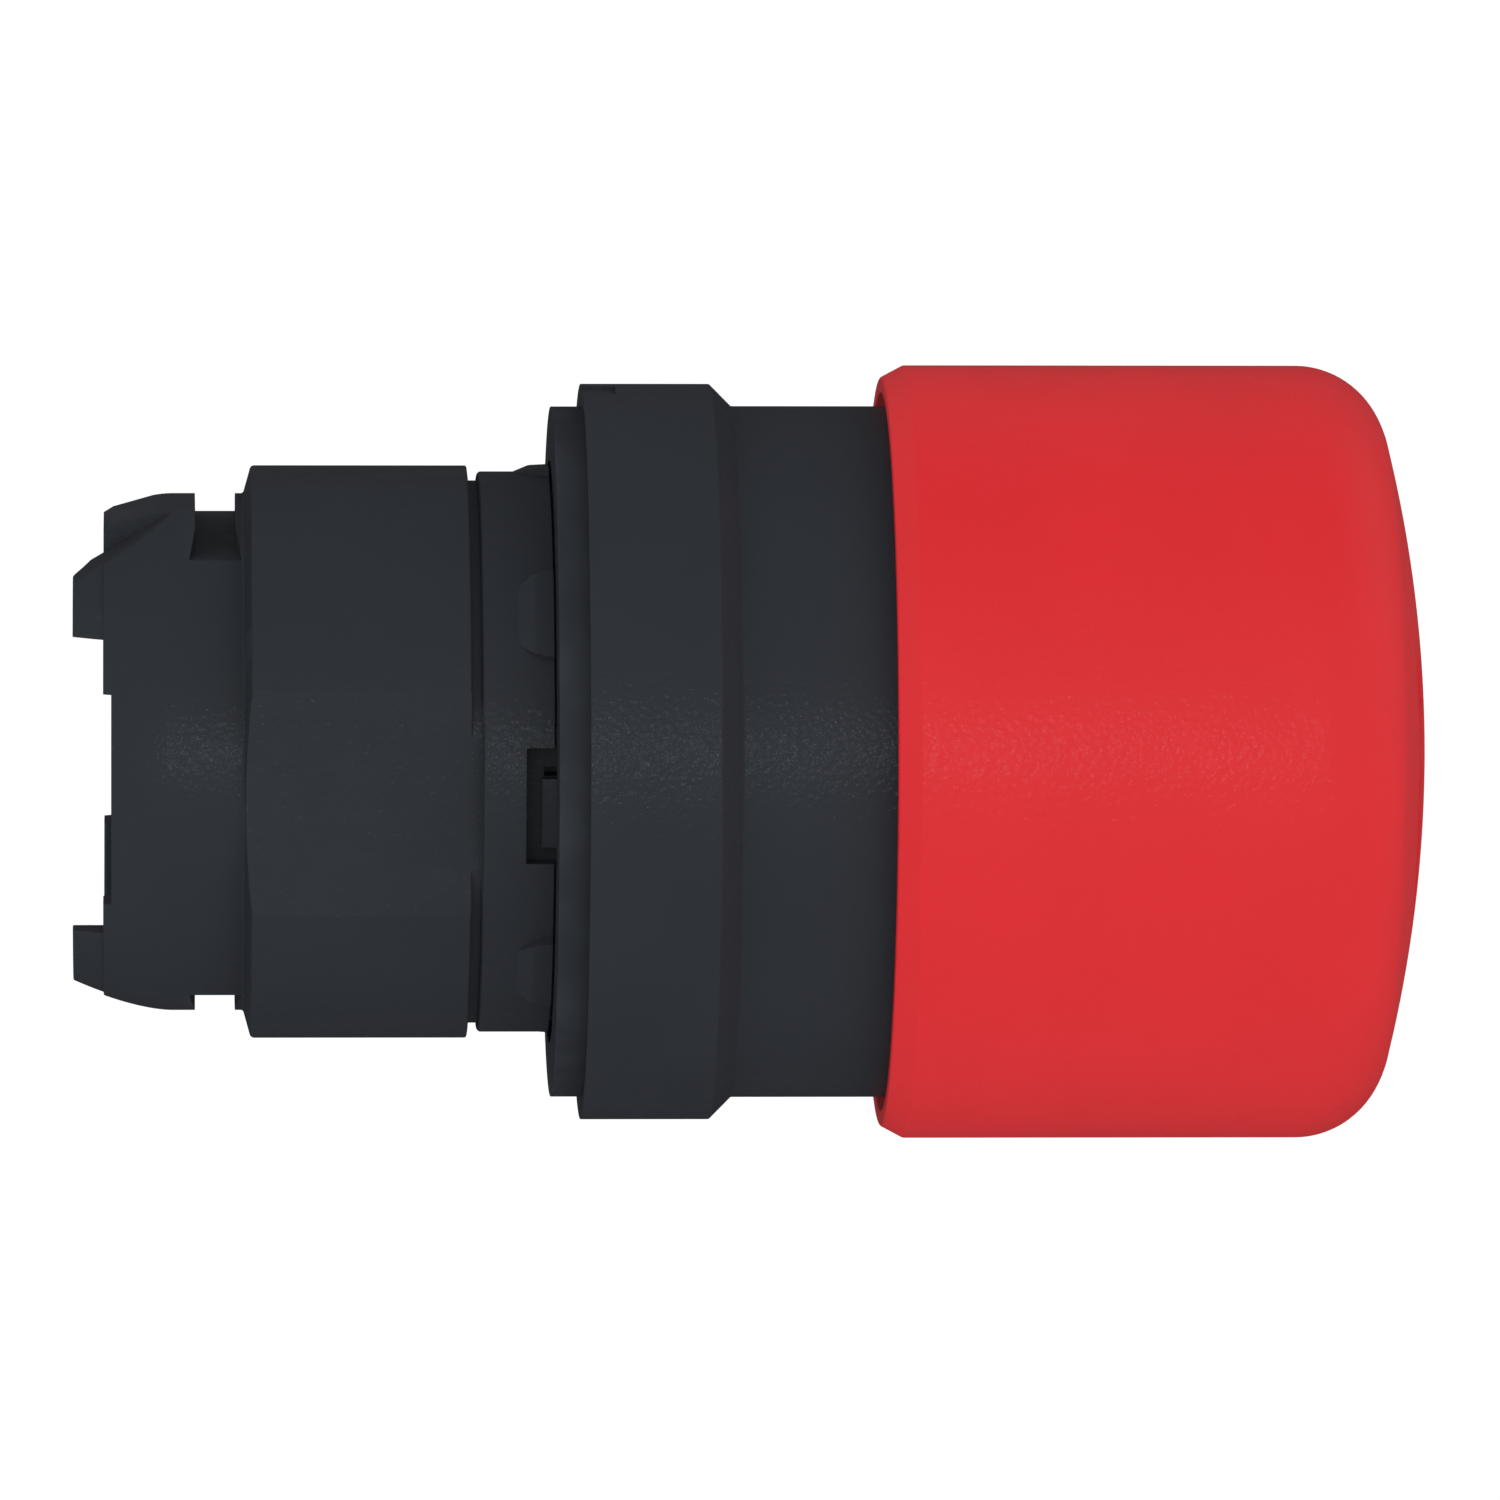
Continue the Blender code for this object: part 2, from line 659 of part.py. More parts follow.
def barrel_profile():
    return [
        (BARREL_FRONT_X, SPIGOT_R - 0.25),
        (BARREL_FRONT_X - 0.25, SPIGOT_R),
        (4.5, SPIGOT_R),
        (4.1, SPIGOT_BEAD_R),
        (3.6, SPIGOT_BEAD_R),
        (3.3, SPIGOT_R),
        (1.0, SPIGOT_R),
        (1.0, COLLAR_R),
        (-2.36, COLLAR_R),
        (-2.58, COLLAR_R - 0.09),
        (-2.66, COLLAR_R - 0.3),
        (-2.66, GROOVE_R),
        (-3.06, GROOVE_R),
        (-3.06, BARREL_R),
        (-11.41, BARREL_R),
        (-11.71, FLANGE_R),
        *[(x, tail_radius(x)) for x in TAIL_STATIONS],
        (BARREL_REAR_X, RETAINER_SEAT_R),
        (RETAINER_SEAT_X, RETAINER_SEAT_R),
        (RETAINER_SEAT_X, BARREL_BORE_R),
        (CAGE_SEAT_X, BARREL_BORE_R),
        (CAGE_SEAT_X, CAGE_SEAT_R),
        (BARREL_FRONT_X, CAGE_SEAT_R),
    ]


def collar_bumps():
    """Six wedges on the collar that centre the head in its panel hole."""
    bumps = turned("bump_ring", BUMP_SECTION, SHELL_STEPS, CUTTERS)
    sectors = []
    for k, degrees in enumerate(BUMP_DEG):
        # the box reaches along +Y and is turned about X to its bump
        turn = (math.pi - math.radians(degrees), 0, 0)
        low, high = (-4, 6, -BUMP_HALF_W), (2, 14, BUMP_HALF_W)
        sectors.append(box("bump_sector_%d" % k, low, high, rotation=turn))
    for k, sector in enumerate(sectors[1:], start=1):
        join(sectors[0], sector, "Sector %d" % k)
    keep_inside(bumps, sectors[0], "Six bumps")
    return bumps


def rear_legs():
    """Two legs past the rim, on the near side only."""
    section = [(x, tail_radius(x) - LEG_INSET) for x in LEG_STATIONS]
    section += [(LEG_REAR_X, LEG_BORE_R), (LEG_FRONT_X, LEG_BORE_R)]
    legs = turned("leg_ring", section, SHELL_STEPS, CUTTERS)
    upper = box("leg_box_upper", (-19, -12, 5.8), (-15, -2.05, 12))
    lower = box("leg_box_lower", (-19, -12, -12), (-15, -2.05, -5.6))
    join(upper, lower, "Lower leg")
    keep_inside(legs, upper, "Two legs")
    return legs


def cut_flats(barrel):
    """Locating flats on top and on both sides, and a slope behind the rear top flat."""
    for name, low, high in FLATS:
        cut(barrel, box(name, low, high))
    slope = box(
        "rear_top_slope",
        (-22.0, -3.1, REAR_FLAT_Z),
        (-12.5, 3.1, 14),
        rotation=(0, -math.radians(REAR_SLOPE_DEG), 0),
        pivot=(TAIL_FRONT_X, 0, REAR_FLAT_Z),
    )
    cut(barrel, slope)


def cut_slots(barrel):
    """Slots for the mounting collar, top and bottom, flared towards their ends."""
    rear_x, front_x = SLOT_X
    outline = [
        (rear_x - SLOT_FLARE, -SLOT_HALF_W),
        (rear_x, -SLOT_STRAIGHT_HALF_W),
        (rear_x, SLOT_STRAIGHT_HALF_W),
        (rear_x - SLOT_FLARE, SLOT_HALF_W),
        (front_x + SLOT_FLARE, SLOT_HALF_W),
        (front_x, SLOT_STRAIGHT_HALF_W),
        (front_x, -SLOT_STRAIGHT_HALF_W),
        (front_x + SLOT_FLARE, -SLOT_HALF_W),
    ]
    cut(barrel, outline_solid("slot_top", outline, SLOT_FLOOR_Z, 12), "Top slot")
    cut(barrel, outline_solid("slot_bottom", outline, -12, -SLOT_FLOOR_Z), "Bottom slot")


def cut_ramps(barrel):
    """Ramps either side of the middle rib, falling towards the rear."""
    for name, low_y, high_y in (("near", -12, -RIB_HALF_W), ("far", RIB_HALF_W, 12)):
        ramp = box(
            "ramp_" + name,
            (BARREL_REAR_X - 6, low_y, RAMP_REAR_Z),
            (BARREL_REAR_X + 3.45, high_y, RAMP_REAR_Z + 6),
            rotation=(0, -math.radians(RAMP_DEG), 0),
            pivot=(BARREL_REAR_X, 0, RAMP_REAR_Z),
        )
        cut(barrel, ramp)


def build_barrel():
    barrel = turned("barrel", barrel_profile(), SHELL_STEPS, origin_x=BARREL_REAR_X)
    join(barrel, collar_bumps(), "Bumps")
    join(barrel, rear_legs(), "Legs")
    cut_flats(barrel)
    cut_slots(barrel)
    cut_ramps(barrel)
    # shallow notches in the rear rim on both sides
    cut(barrel, box("rim_notches", (-17.4, -14, -4.25), (-16.79, 14, 3.93)))
    # window for the bezel's key, on the near side and open to the front
    low, high = (WINDOW_REAR_X, -14, -WINDOW_HALF_Z), (8, -6, WINDOW_HALF_Z)
    cut(barrel, box("key_window", low, high))
    finish_part(barrel, BLACK_PLASTIC)


# ---------------------------------------------------------------- actuator, its spring and retainer
PUSHER_R = 5.6
PUSHER_REAR_X = -16.3
PUSHER_CHAMFER = 0.3
PUSHER_FLAT_Z = 5.1
ACTUATOR_BORE_R = 4.6
ACTUATOR_BORE_FLOOR_X = -14.5
ACTUATOR_FLANGE_X = (-4.9, -3.9)
ACTUATOR_FLANGE_R = 7.2
RETAINER_X = (-16.6, -15.9)


def build_actuator_plunger():
    flange_rear_x, flange_front_x = ACTUATOR_FLANGE_X
    profile = [
        (ACTUATOR_BORE_FLOOR_X, 0.0),
        (ACTUATOR_BORE_FLOOR_X, ACTUATOR_BORE_R),
        (flange_front_x, ACTUATOR_BORE_R),
        (flange_front_x, ACTUATOR_FLANGE_R),
        (flange_rear_x, ACTUATOR_FLANGE_R),
        (flange_rear_x, PUSHER_R),
        (PUSHER_REAR_X + PUSHER_CHAMFER, PUSHER_R),
        (PUSHER_REAR_X, PUSHER_R - PUSHER_CHAMFER),
        (PUSHER_REAR_X, 0.0),
    ]
    plunger = turned("actuator_plunger", profile, closed=False, origin_x=PUSHER_REAR_X)
    for name, low_z, high_z in (("top", PUSHER_FLAT_Z, 7.0), ("bottom", -7.0, -PUSHER_FLAT_Z)):
        cut(plunger, box("pusher_flat_" + name, (-17, -8, low_z), (-11.0, 8, high_z)))
    finish_part(plunger, GREY_PLASTIC, PLUNGER)


def build_actuator_spring():
    spring = coil(
        "actuator_spring",
        radius=6.55, wire_r=0.35, start=-15.15, end=-5.6, turns=4.75, per_turn=12,
    )
    finish_part(spring, BRIGHT_STEEL)


def build_rear_retainer():
    retainer = turned("rear_retainer", ring_profile(*RETAINER_X, 7.8, 5.95), origin_x=RETAINER_X[0])
    # two keys that stop the actuator from turning: they reach in to its flats
    keys = box("keys", (-16.5, -2.0, 5.32), (-16.0, 2.0, 6.6))
    join(keys, box("key_bottom", (-16.5, -2.0, -6.6), (-16.0, 2.0, -5.32)), "Bottom key")
    join(retainer, keys)
    finish_part(retainer, BLACK_PLASTIC)


# ---------------------------------------------------------------- build
build_mushroom_cap()
build_cap_hub()
build_spindle()
build_hub_pin()
build_spindle_clip()
build_cam_sleeve()
build_latch_cage()
for pawl_name, pawl_side in (("upper", 1), ("lower", -1)):
    build_latch_pawl(pawl_name, pawl_side)
    build_pawl_spring(pawl_name, pawl_side)
build_front_bezel()
build_panel_gasket()
build_cap_lip_seal()
build_spindle_seal()
build_spring_seat_washer()
build_return_spring()
build_torsion_spring()
build_barrel()
build_actuator_plunger()
build_actuator_spring()
build_rear_retainer()
bpy.context.view_layer.update()
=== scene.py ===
"""A panel-mounted mushroom push button that latches and is released by a twist.

The button lies along X, with its axis at y = z = 0. +X is the front, where the cap is pushed,
and -X is the rear, behind the panel. +Z is up and -Y is the near side, which faces the camera.
Sizes are in millimetres, and stations along X are measured from the panel's front face.
"""

import math
from collections import namedtuple

import bmesh
import bpy
import numpy as np
from mathutils import Matrix, Vector


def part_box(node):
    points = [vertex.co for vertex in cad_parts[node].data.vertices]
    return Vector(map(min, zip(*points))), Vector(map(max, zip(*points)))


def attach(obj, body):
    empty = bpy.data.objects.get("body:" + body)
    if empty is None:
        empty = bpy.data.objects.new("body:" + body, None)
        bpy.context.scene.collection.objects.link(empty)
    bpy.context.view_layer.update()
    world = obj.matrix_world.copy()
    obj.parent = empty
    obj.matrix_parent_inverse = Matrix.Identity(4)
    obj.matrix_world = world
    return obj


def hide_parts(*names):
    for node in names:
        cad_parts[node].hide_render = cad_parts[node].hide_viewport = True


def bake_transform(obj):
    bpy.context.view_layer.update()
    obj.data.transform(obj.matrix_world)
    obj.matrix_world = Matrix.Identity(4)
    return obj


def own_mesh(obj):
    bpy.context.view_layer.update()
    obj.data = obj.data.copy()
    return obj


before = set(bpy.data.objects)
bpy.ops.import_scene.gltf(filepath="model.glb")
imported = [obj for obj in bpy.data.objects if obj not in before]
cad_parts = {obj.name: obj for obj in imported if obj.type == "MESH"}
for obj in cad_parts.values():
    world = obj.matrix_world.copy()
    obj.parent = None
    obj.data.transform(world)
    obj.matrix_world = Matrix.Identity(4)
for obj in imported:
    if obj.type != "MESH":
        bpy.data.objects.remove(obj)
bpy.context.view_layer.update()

MM = 0.001
PANEL_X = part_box("panel_gasket")[0].x  # the gasket's rear face rests on the panel, in metres
SHELL_STEPS = 160  # facets round the large shells
INNER_STEPS = 96  # facets round the small turned pieces
ROD_STEPS = 32  # facets round pins and drilled holes

Extent = namedtuple("Extent", "rear front radius")


def extent(part):
    """The X range and outer radius of a CAD piece turned about X, in millimetres."""
    low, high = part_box(part)
    radius = max(high.y, -low.y, high.z, -low.z)
    return Extent((low.x - PANEL_X) / MM, (high.x - PANEL_X) / MM, radius / MM)


CAP = extent("mushroom_cap")
BEZEL = extent("front_bezel")
GASKET = extent("panel_gasket")
BARREL = extent("barrel")
HUB = extent("cap_hub")
SPINDLE = extent("spindle")
SLEEVE = extent("cam_sleeve")
CAGE = extent("latch_cage")
PLUNGER = extent("actuator_plunger")
RETAINER = extent("rear_retainer")
WASHER = extent("spring_seat_washer")
CLIP = extent("spindle_clip")
LIP_SEAL = extent("cap_lip_seal")

# cap crown: a shallow dome that runs into a rounded shoulder
CROWN_RADIUS = 49.5
SHOULDER_X = 29.14
SHOULDER_RADIUS = 3.45
SHOULDER_START_DEG = 14.2  # where the dome meets the shoulder, measured from +X
CAP_BORE = 13.7
CROWN_WALL = 1.3

# barrel tail: the radius shrinks along a power curve towards the rear
TAIL_FRONT = -14.5
TAIL_LENGTH = 2.6
TAIL_RADIUS = 10.02
TAIL_DROP = 0.58
TAIL_POWER = 1.6
BARREL_REAR = TAIL_FRONT - TAIL_LENGTH

# cone of the cam sleeve, whose slope the pawls' inner ends share
CONE_RISE = 0.8
CONE_RUN = 4.5

# pawls, which slide up and down in the cage's pockets
PAWL_REAR = 0.6
PAWL_FRONT = 3.4
PAWL_HALF_WIDTH = 1.4
POCKET_CLEARANCE = 0.2
PAWL_SPRING_X = 2.0

# cross pin through the hub and spindle
PIN_X = 23.6
PIN_RADIUS = 0.8
PIN_LENGTH = 9.2
PIN_HOLE_RADIUS = 0.9
PIN_HOLE_LENGTH = 18


# ------------------------------------------------------------------ shader node helpers
def clear_tree(owner):
    """The emptied node tree of a material or world."""
    owner.use_nodes = True
    owner.node_tree.nodes.clear()
    return owner.node_tree


def feed(tree, socket, value):
    """Link an output into a socket, or set the socket to a plain value."""
    if isinstance(value, bpy.types.NodeSocket):
        tree.links.new(value, socket)
    else:
        socket.default_value = value


def add_node(tree, kind, attributes=None, **inputs):
    """A node with its inputs fed by name; an underscore stands for a space."""
    made = tree.nodes.new(kind)
    for key, value in (attributes or {}).items():
        setattr(made, key, value)
    for key, value in inputs.items():
        feed(tree, made.inputs[key.replace("_", " ")], value)
    return made


def calculate(tree, operation, *terms):
    made = add_node(tree, "ShaderNodeMath", {"operation": operation})
    for i, term in enumerate(terms):
        feed(tree, made.inputs[i], term)
    return made.outputs["Value"]


def mapped(tree, value, source, result):
    """The value mapped from the source range to the result range, clamped."""
    made = add_node(
        tree, "ShaderNodeMapRange", Value=value,
        From_Min=source[0], From_Max=source[1], To_Min=result[0], To_Max=result[1],
    )
    return made.outputs["Result"]


def noise(tree, vector, **settings):
    return add_node(tree, "ShaderNodeTexNoise", Vector=vector, **settings).outputs["Fac"]


def mix_colours(tree, factor, first, second):
    made = add_node(
        tree, "ShaderNodeMix", {"data_type": "RGBA"}, Factor=factor, A=first, B=second
    )
    return made.outputs["Result"]


def mix_shaders(tree, factor, first, second):
    made = add_node(tree, "ShaderNodeMixShader", Fac=factor)
    feed(tree, made.inputs[1], first)
    feed(tree, made.inputs[2], second)
    return made.outputs["Shader"]


def object_coordinates(tree):
    return add_node(tree, "ShaderNodeTexCoord").outputs["Object"]


def convex_corners(tree, source, strength=1.0):
    """A mask that rises to its strength where the surface is convex."""
    pointiness = add_node(tree, "ShaderNodeNewGeometry").outputs["Pointiness"]
    return mapped(tree, pointiness, source, (0.0, strength))


def rounded_normal(tree, radius_mm):
    made = add_node(tree, "ShaderNodeBevel", {"samples": 4}, Radius=radius_mm * MM)
    return made.outputs["Normal"]


def bump(tree, height, distance_mm, strength=1.0, **inputs):
    made = add_node(
        tree, "ShaderNodeBump", Strength=strength, Distance=distance_mm * MM,
        Height=height, **inputs,
    )
    return made.outputs["Normal"]


def shade(colour, gain=1.0, lift=0.0):
    return (*[min(1.0, channel * gain + lift) for channel in colour], 1)


# ------------------------------------------------------------------ materials
def moulded_plastic(
    name, colour, roughness, specular, grain_mm, grain_height, edge_light, tone, skin=0.0
):
    """Injection-moulded plastic: a fine grain in the bump, patches of slightly different gloss,
    faint flow variation in the colour, and polished corners. grain_mm is the grain's size and
    grain_height its depth in millimetres; edge_light is the gain of the colour at worn corners,
    tone the share by which the colour varies, and skin the weight of the clear coat."""
    material = bpy.data.materials.new(name)
    tree = clear_tree(material)
    place = object_coordinates(tree)
    flow = noise(tree, place, Scale=140.0, Detail=3.0, Roughness=0.55)
    cloud = noise(tree, place, Scale=900.0, Detail=4.0, Roughness=0.6)
    grain = noise(tree, place, Scale=1.0 / (grain_mm * MM), Detail=2.0, Roughness=0.5)
    pits = add_node(
        tree, "ShaderNodeTexVoronoi", {"feature": "SMOOTH_F1"}, Vector=place,
        Scale=0.8 / (grain_mm * MM), Randomness=1.0, Smoothness=0.6,
    )

    convex = convex_corners(tree, source=(0.515, 0.60))
    broken = mapped(tree, cloud, source=(0.35, 0.65), result=(0.2, 1.0))
    wear = calculate(tree, "MULTIPLY", convex, broken)

    base = mix_colours(
        tree,
        mapped(tree, flow, source=(0.3, 0.7), result=(0.0, 1.0)),
        shade(colour, gain=1 - tone),
        shade(colour, gain=1 + tone),
    )
    tint = calculate(tree, "MULTIPLY", wear, 0.55)  # how far worn corners change colour
    worn = mix_colours(tree, tint, base, shade(colour, gain=edge_light, lift=0.004))

    gloss = mapped(
        tree, cloud, source=(0.3, 0.7), result=(roughness - 0.03, roughness + 0.04)
    )
    polished = calculate(tree, "MULTIPLY_ADD", wear, -0.12, gloss)  # wear lowers the roughness
    height = calculate(tree, "MULTIPLY_ADD", pits.outputs["Distance"], 0.6, grain)
    normal = bump(tree, height, grain_height, Normal=rounded_normal(tree, radius_mm=0.06))
    shader = add_node(
        tree, "ShaderNodeBsdfPrincipled", Base_Color=worn, Roughness=polished,
        Specular_IOR_Level=specular, Normal=normal,
    )
    if skin:
        coat = {
            "Coat Weight": skin,
            "Coat Roughness": 0.17,
            "Coat IOR": 1.45,
            "Coat Normal": bump(tree, height, grain_height * 3.6),  # deeper than the base grain
        }
        for key, value in coat.items():
            feed(tree, shader.inputs[key], value)
    add_node(tree, "ShaderNodeOutputMaterial", Surface=shader.outputs["BSDF"])
    return material


def drawn_metal(name, colour, roughness):
    """Drawn wire or turned steel: fine marks, a dark oil film, and corners rubbed bright."""
    material = bpy.data.materials.new(name)
    tree = clear_tree(material)
    place = object_coordinates(tree)
    stretch = add_node(tree, "ShaderNodeMapping", Vector=place, Scale=(1.0, 0.12, 0.12))
    marks_mm = 0.08  # size of the marks
    marks = noise(tree, stretch.outputs["Vector"], Scale=1.0 / (marks_mm * MM), Detail=3.0)
    film = noise(tree, place, Scale=500.0, Detail=4.0, Roughness=0.65)

    base = mix_colours(
        tree,
        mapped(tree, film, source=(0.35, 0.6), result=(0.0, 1.0)),
        shade(colour, gain=0.72),
        shade(colour),
    )
    rubbed = convex_corners(tree, source=(0.52, 0.60), strength=0.6)
    worn = mix_colours(tree, rubbed, base, shade(colour, gain=1.25))
    gloss = mapped(
        tree, marks, source=(0.3, 0.7), result=(roughness - 0.08, roughness + 0.12)
    )
    smooth = calculate(tree, "MULTIPLY_ADD", rubbed, -0.10, gloss)  # rubbing smooths
    shader = add_node(
        tree, "ShaderNodeBsdfPrincipled", Base_Color=worn, Metallic=1.0, Roughness=smooth,
        Normal=bump(tree, marks, distance_mm=0.002, strength=0.8),
    )
    add_node(tree, "ShaderNodeOutputMaterial", Surface=shader.outputs["BSDF"])
    return material


def moulded_rubber(name, colour, roughness):
    """Black rubber: a dusty bloom in patches, rubbed off at the corners, on an uneven skin."""
    material = bpy.data.materials.new(name)
    tree = clear_tree(material)
    place = object_coordinates(tree)
    bloom = noise(tree, place, Scale=420.0, Detail=5.0, Roughness=0.6)
    skin = noise(tree, place, Scale=3200.0, Detail=3.0, Roughness=0.6)

    base = mix_colours(
        tree,
        mapped(tree, bloom, source=(0.4, 0.7), result=(0.0, 1.0)),
        shade(colour, gain=0.9),
        shade(colour, gain=1.15, lift=0.001),
    )
    rubbed = convex_corners(tree, source=(0.52, 0.60), strength=0.5)
    worn = mix_colours(tree, rubbed, base, shade(colour, gain=0.8))
    gloss = mapped(
        tree, bloom, source=(0.3, 0.7), result=(roughness - 0.05, roughness + 0.12)
    )
    shiny = calculate(tree, "MULTIPLY_ADD", rubbed, -0.15, gloss)  # rubbed corners shine
    normal = bump(
        tree, skin, distance_mm=0.008, strength=0.7,
        Normal=rounded_normal(tree, radius_mm=0.04),
    )
    shader = add_node(
        tree, "ShaderNodeBsdfPrincipled", Base_Color=worn, Roughness=shiny,
        Specular_IOR_Level=0.2, Normal=normal,
    )
    add_node(tree, "ShaderNodeOutputMaterial", Surface=shader.outputs["BSDF"])
    return material


RED = moulded_plastic(
    "cap_red_plastic", colour=(0.705, 0.0195, 0.0255), roughness=0.46, specular=0.18,
    grain_mm=0.23, grain_height=0.010, edge_light=1.08, tone=0.02, skin=0.16,
)
BLACK = moulded_plastic(
    "housing_black_plastic", colour=(0.0257, 0.0302, 0.0378), roughness=0.48, specular=0.20,
    grain_mm=0.20, grain_height=0.010, edge_light=1.35, tone=0.04, skin=0.16,
)
GREY = moulded_plastic(
    "inner_grey_plastic", colour=(0.15, 0.16, 0.17), roughness=0.5, specular=0.4,
    grain_mm=0.16, grain_height=0.006, edge_light=1.25, tone=0.07,
)
CHARCOAL = moulded_plastic(
    "cage_charcoal_plastic", colour=(0.060, 0.066, 0.078), roughness=0.5, specular=0.24,
    grain_mm=0.16, grain_height=0.006, edge_light=1.25, tone=0.06,
)
NATURAL = moulded_plastic(
    "latch_natural_acetal", colour=(0.62, 0.60, 0.54), roughness=0.38, specular=0.5,
    grain_mm=0.14, grain_height=0.004, edge_light=1.15, tone=0.04,
)
RUBBER = moulded_rubber("seal_rubber", colour=(0.0285, 0.0335, 0.0420), roughness=0.62)
STEEL = drawn_metal("spring_steel", colour=(0.56, 0.57, 0.58), roughness=0.30)
TURNED = drawn_metal("turned_steel", colour=(0.60, 0.60, 0.60), roughness=0.26)


# ------------------------------------------------------------------ profiles
def rounded(points, closed=True):
    """A profile of (x, r) or (x, r, corner radius) with its marked corners made round.
    Each straight run beside a rounded corner gets a support point, so that it shades flat."""
    step_deg = 14.0  # largest turn of one arc facet
    support = 0.07  # distance of a support point from its arc
    straight = math.radians(88)  # half angle above which a corner is left alone
    longest_share = 0.46  # of a neighbouring side that an arc may take
    count = len(points)
    runs = []
    for i, point in enumerate(points):
        here = Vector(point[:2])
        radius = point[2] if len(point) > 2 else 0.0
        is_end = not closed and i in (0, count - 1)
        if radius <= 0 or is_end:
            runs.append([here])
            continue
        before = Vector(points[i - 1][:2])
        after = Vector(points[(i + 1) % count][:2])
        to_before = (before - here).normalized()
        to_after = (after - here).normalized()
        half = to_before.angle(to_after) / 2
        if half > straight:
            runs.append([here])
            continue
        reach = min(
            radius / math.tan(half),
            longest_share * (before - here).length,
            longest_share * (after - here).length,
        )
        radius = reach * math.tan(half)
        centre = here + (to_before + to_after).normalized() * (radius / math.sin(half))
        start = here + to_before * reach
        stop = here + to_after * reach
        start_angle = math.atan2(start.y - centre.y, start.x - centre.x)
        stop_angle = math.atan2(stop.y - centre.y, stop.x - centre.x)
        sweep = (stop_angle - start_angle + math.pi) % math.tau - math.pi
        pieces = max(2, int(math.ceil(abs(math.degrees(sweep)) / step_deg)))
        angles = [start_angle + sweep * k / pieces for k in range(pieces + 1)]
        runs.append(
            [
                Vector((centre.x + radius * math.cos(a), centre.y + radius * math.sin(a)))
                for a in angles
            ]
        )
    profile = []
    for i, run in enumerate(runs):
        profile.extend(run)
        if not closed and i == count - 1:
            break
        following = runs[(i + 1) % count]
        side_start, side_stop = run[-1], following[0]
        length = (side_stop - side_start).length
        if length > 3 * support:
            step = (side_stop - side_start) / length * support
            if len(run) > 1:
                profile.append(side_start + step)
            if len(following) > 1:
                profile.append(side_stop - step)
    return [(point.x, point.y) for point in profile]


def arc(centre_x, centre_r, radius, start_deg, end_deg, segments):
    angles = [
        math.radians(start_deg + (end_deg - start_deg) * k / segments)
        for k in range(segments + 1)
    ]
    return [(centre_x + radius * math.cos(a), centre_r + radius * math.sin(a)) for a in angles]


def dome_x(apex_x, dome_radius, r):
    """The station of a dome's surface at radius r from the axis."""
    return apex_x - dome_radius + math.sqrt(dome_radius**2 - r**2)


def dome(apex_x, dome_radius, end_r, segments):
    radii = [end_r * k / segments for k in range(segments + 1)]
    return [(dome_x(apex_x, dome_radius, r), r) for r in radii]


# ------------------------------------------------------------------ meshes
def add_object(name, mesh):
    obj = bpy.data.objects.new(name, mesh)
    bpy.context.scene.collection.objects.link(obj)
    return obj


def object_from_bmesh(name, edit):
    mesh = bpy.data.meshes.new(name)
    edit.to_mesh(mesh)
    edit.free()
    return add_object(name, mesh)


def new_object(name, vertices, faces, recalc=True):
    mesh = bpy.data.meshes.new(name)
    mesh.from_pydata([tuple(vertex) for vertex in vertices], [], faces)
    if recalc:
        edit = bmesh.new()
        edit.from_mesh(mesh)
        bmesh.ops.recalc_face_normals(edit, faces=edit.faces)
        edit.to_mesh(mesh)
        edit.free()
    return add_object(name, mesh)


def turn(name, profile, steps=INNER_STEPS, closed=True):
    """A mesh turned about the X axis from a profile of (x, r). A closed profile joins its last
    point to its first. Points on the axis become single pole vertices."""
    vertices, rings = [], []
    angles = [math.tau * k / steps for k in range(steps)]
    for x, r in profile:
        start = len(vertices)
        if r <= 1e-9:
            rings.append([start])
            vertices.append((x * MM, 0.0, 0.0))
        else:
            rings.append(list(range(start, start + steps)))
            vertices.extend(
                (x * MM, -r * math.cos(a) * MM, r * math.sin(a) * MM) for a in angles
            )
    faces = []
    pairs = list(zip(rings, rings[1:]))
    if closed:
        pairs.append((rings[-1], rings[0]))
    for first, second in pairs:
        for k in range(steps):
            n = (k + 1) % steps
            if len(first) == 1:
                faces.append((first[0], second[k], second[n]))
            elif len(second) == 1:
                faces.append((first[k], second[0], first[n]))
            else:
                faces.append((first[k], second[k], second[n], first[n]))
    return new_object(name, vertices, faces)


def plain_ring(name, size, bore, outer_round, bore_round):
    """A ring of rectangular section with rounded corners."""
    profile = [
        (size.front, size.radius, outer_round),
        (size.rear, size.radius, outer_round),
        (size.rear, bore, bore_round),
        (size.front, bore, bore_round),
    ]
    return turn(name, rounded(profile))


def rod(name, profile, origin, direction):
    """A turned piece about any line: profile is (along, r) from its origin."""
    obj = turn(name, profile, ROD_STEPS, closed=False)
    way = Vector(direction).normalized()
    spin = Vector((1, 0, 0)).rotation_difference(way).to_matrix().to_4x4()
    obj.data.transform(Matrix.Translation(Vector(origin) * MM) @ spin)
    return obj


def bevel_edges(edit, offset):
    bmesh.ops.bevel(
        edit, geom=list(edit.edges), offset=offset, segments=2, profile=0.5, affect="EDGES"
    )


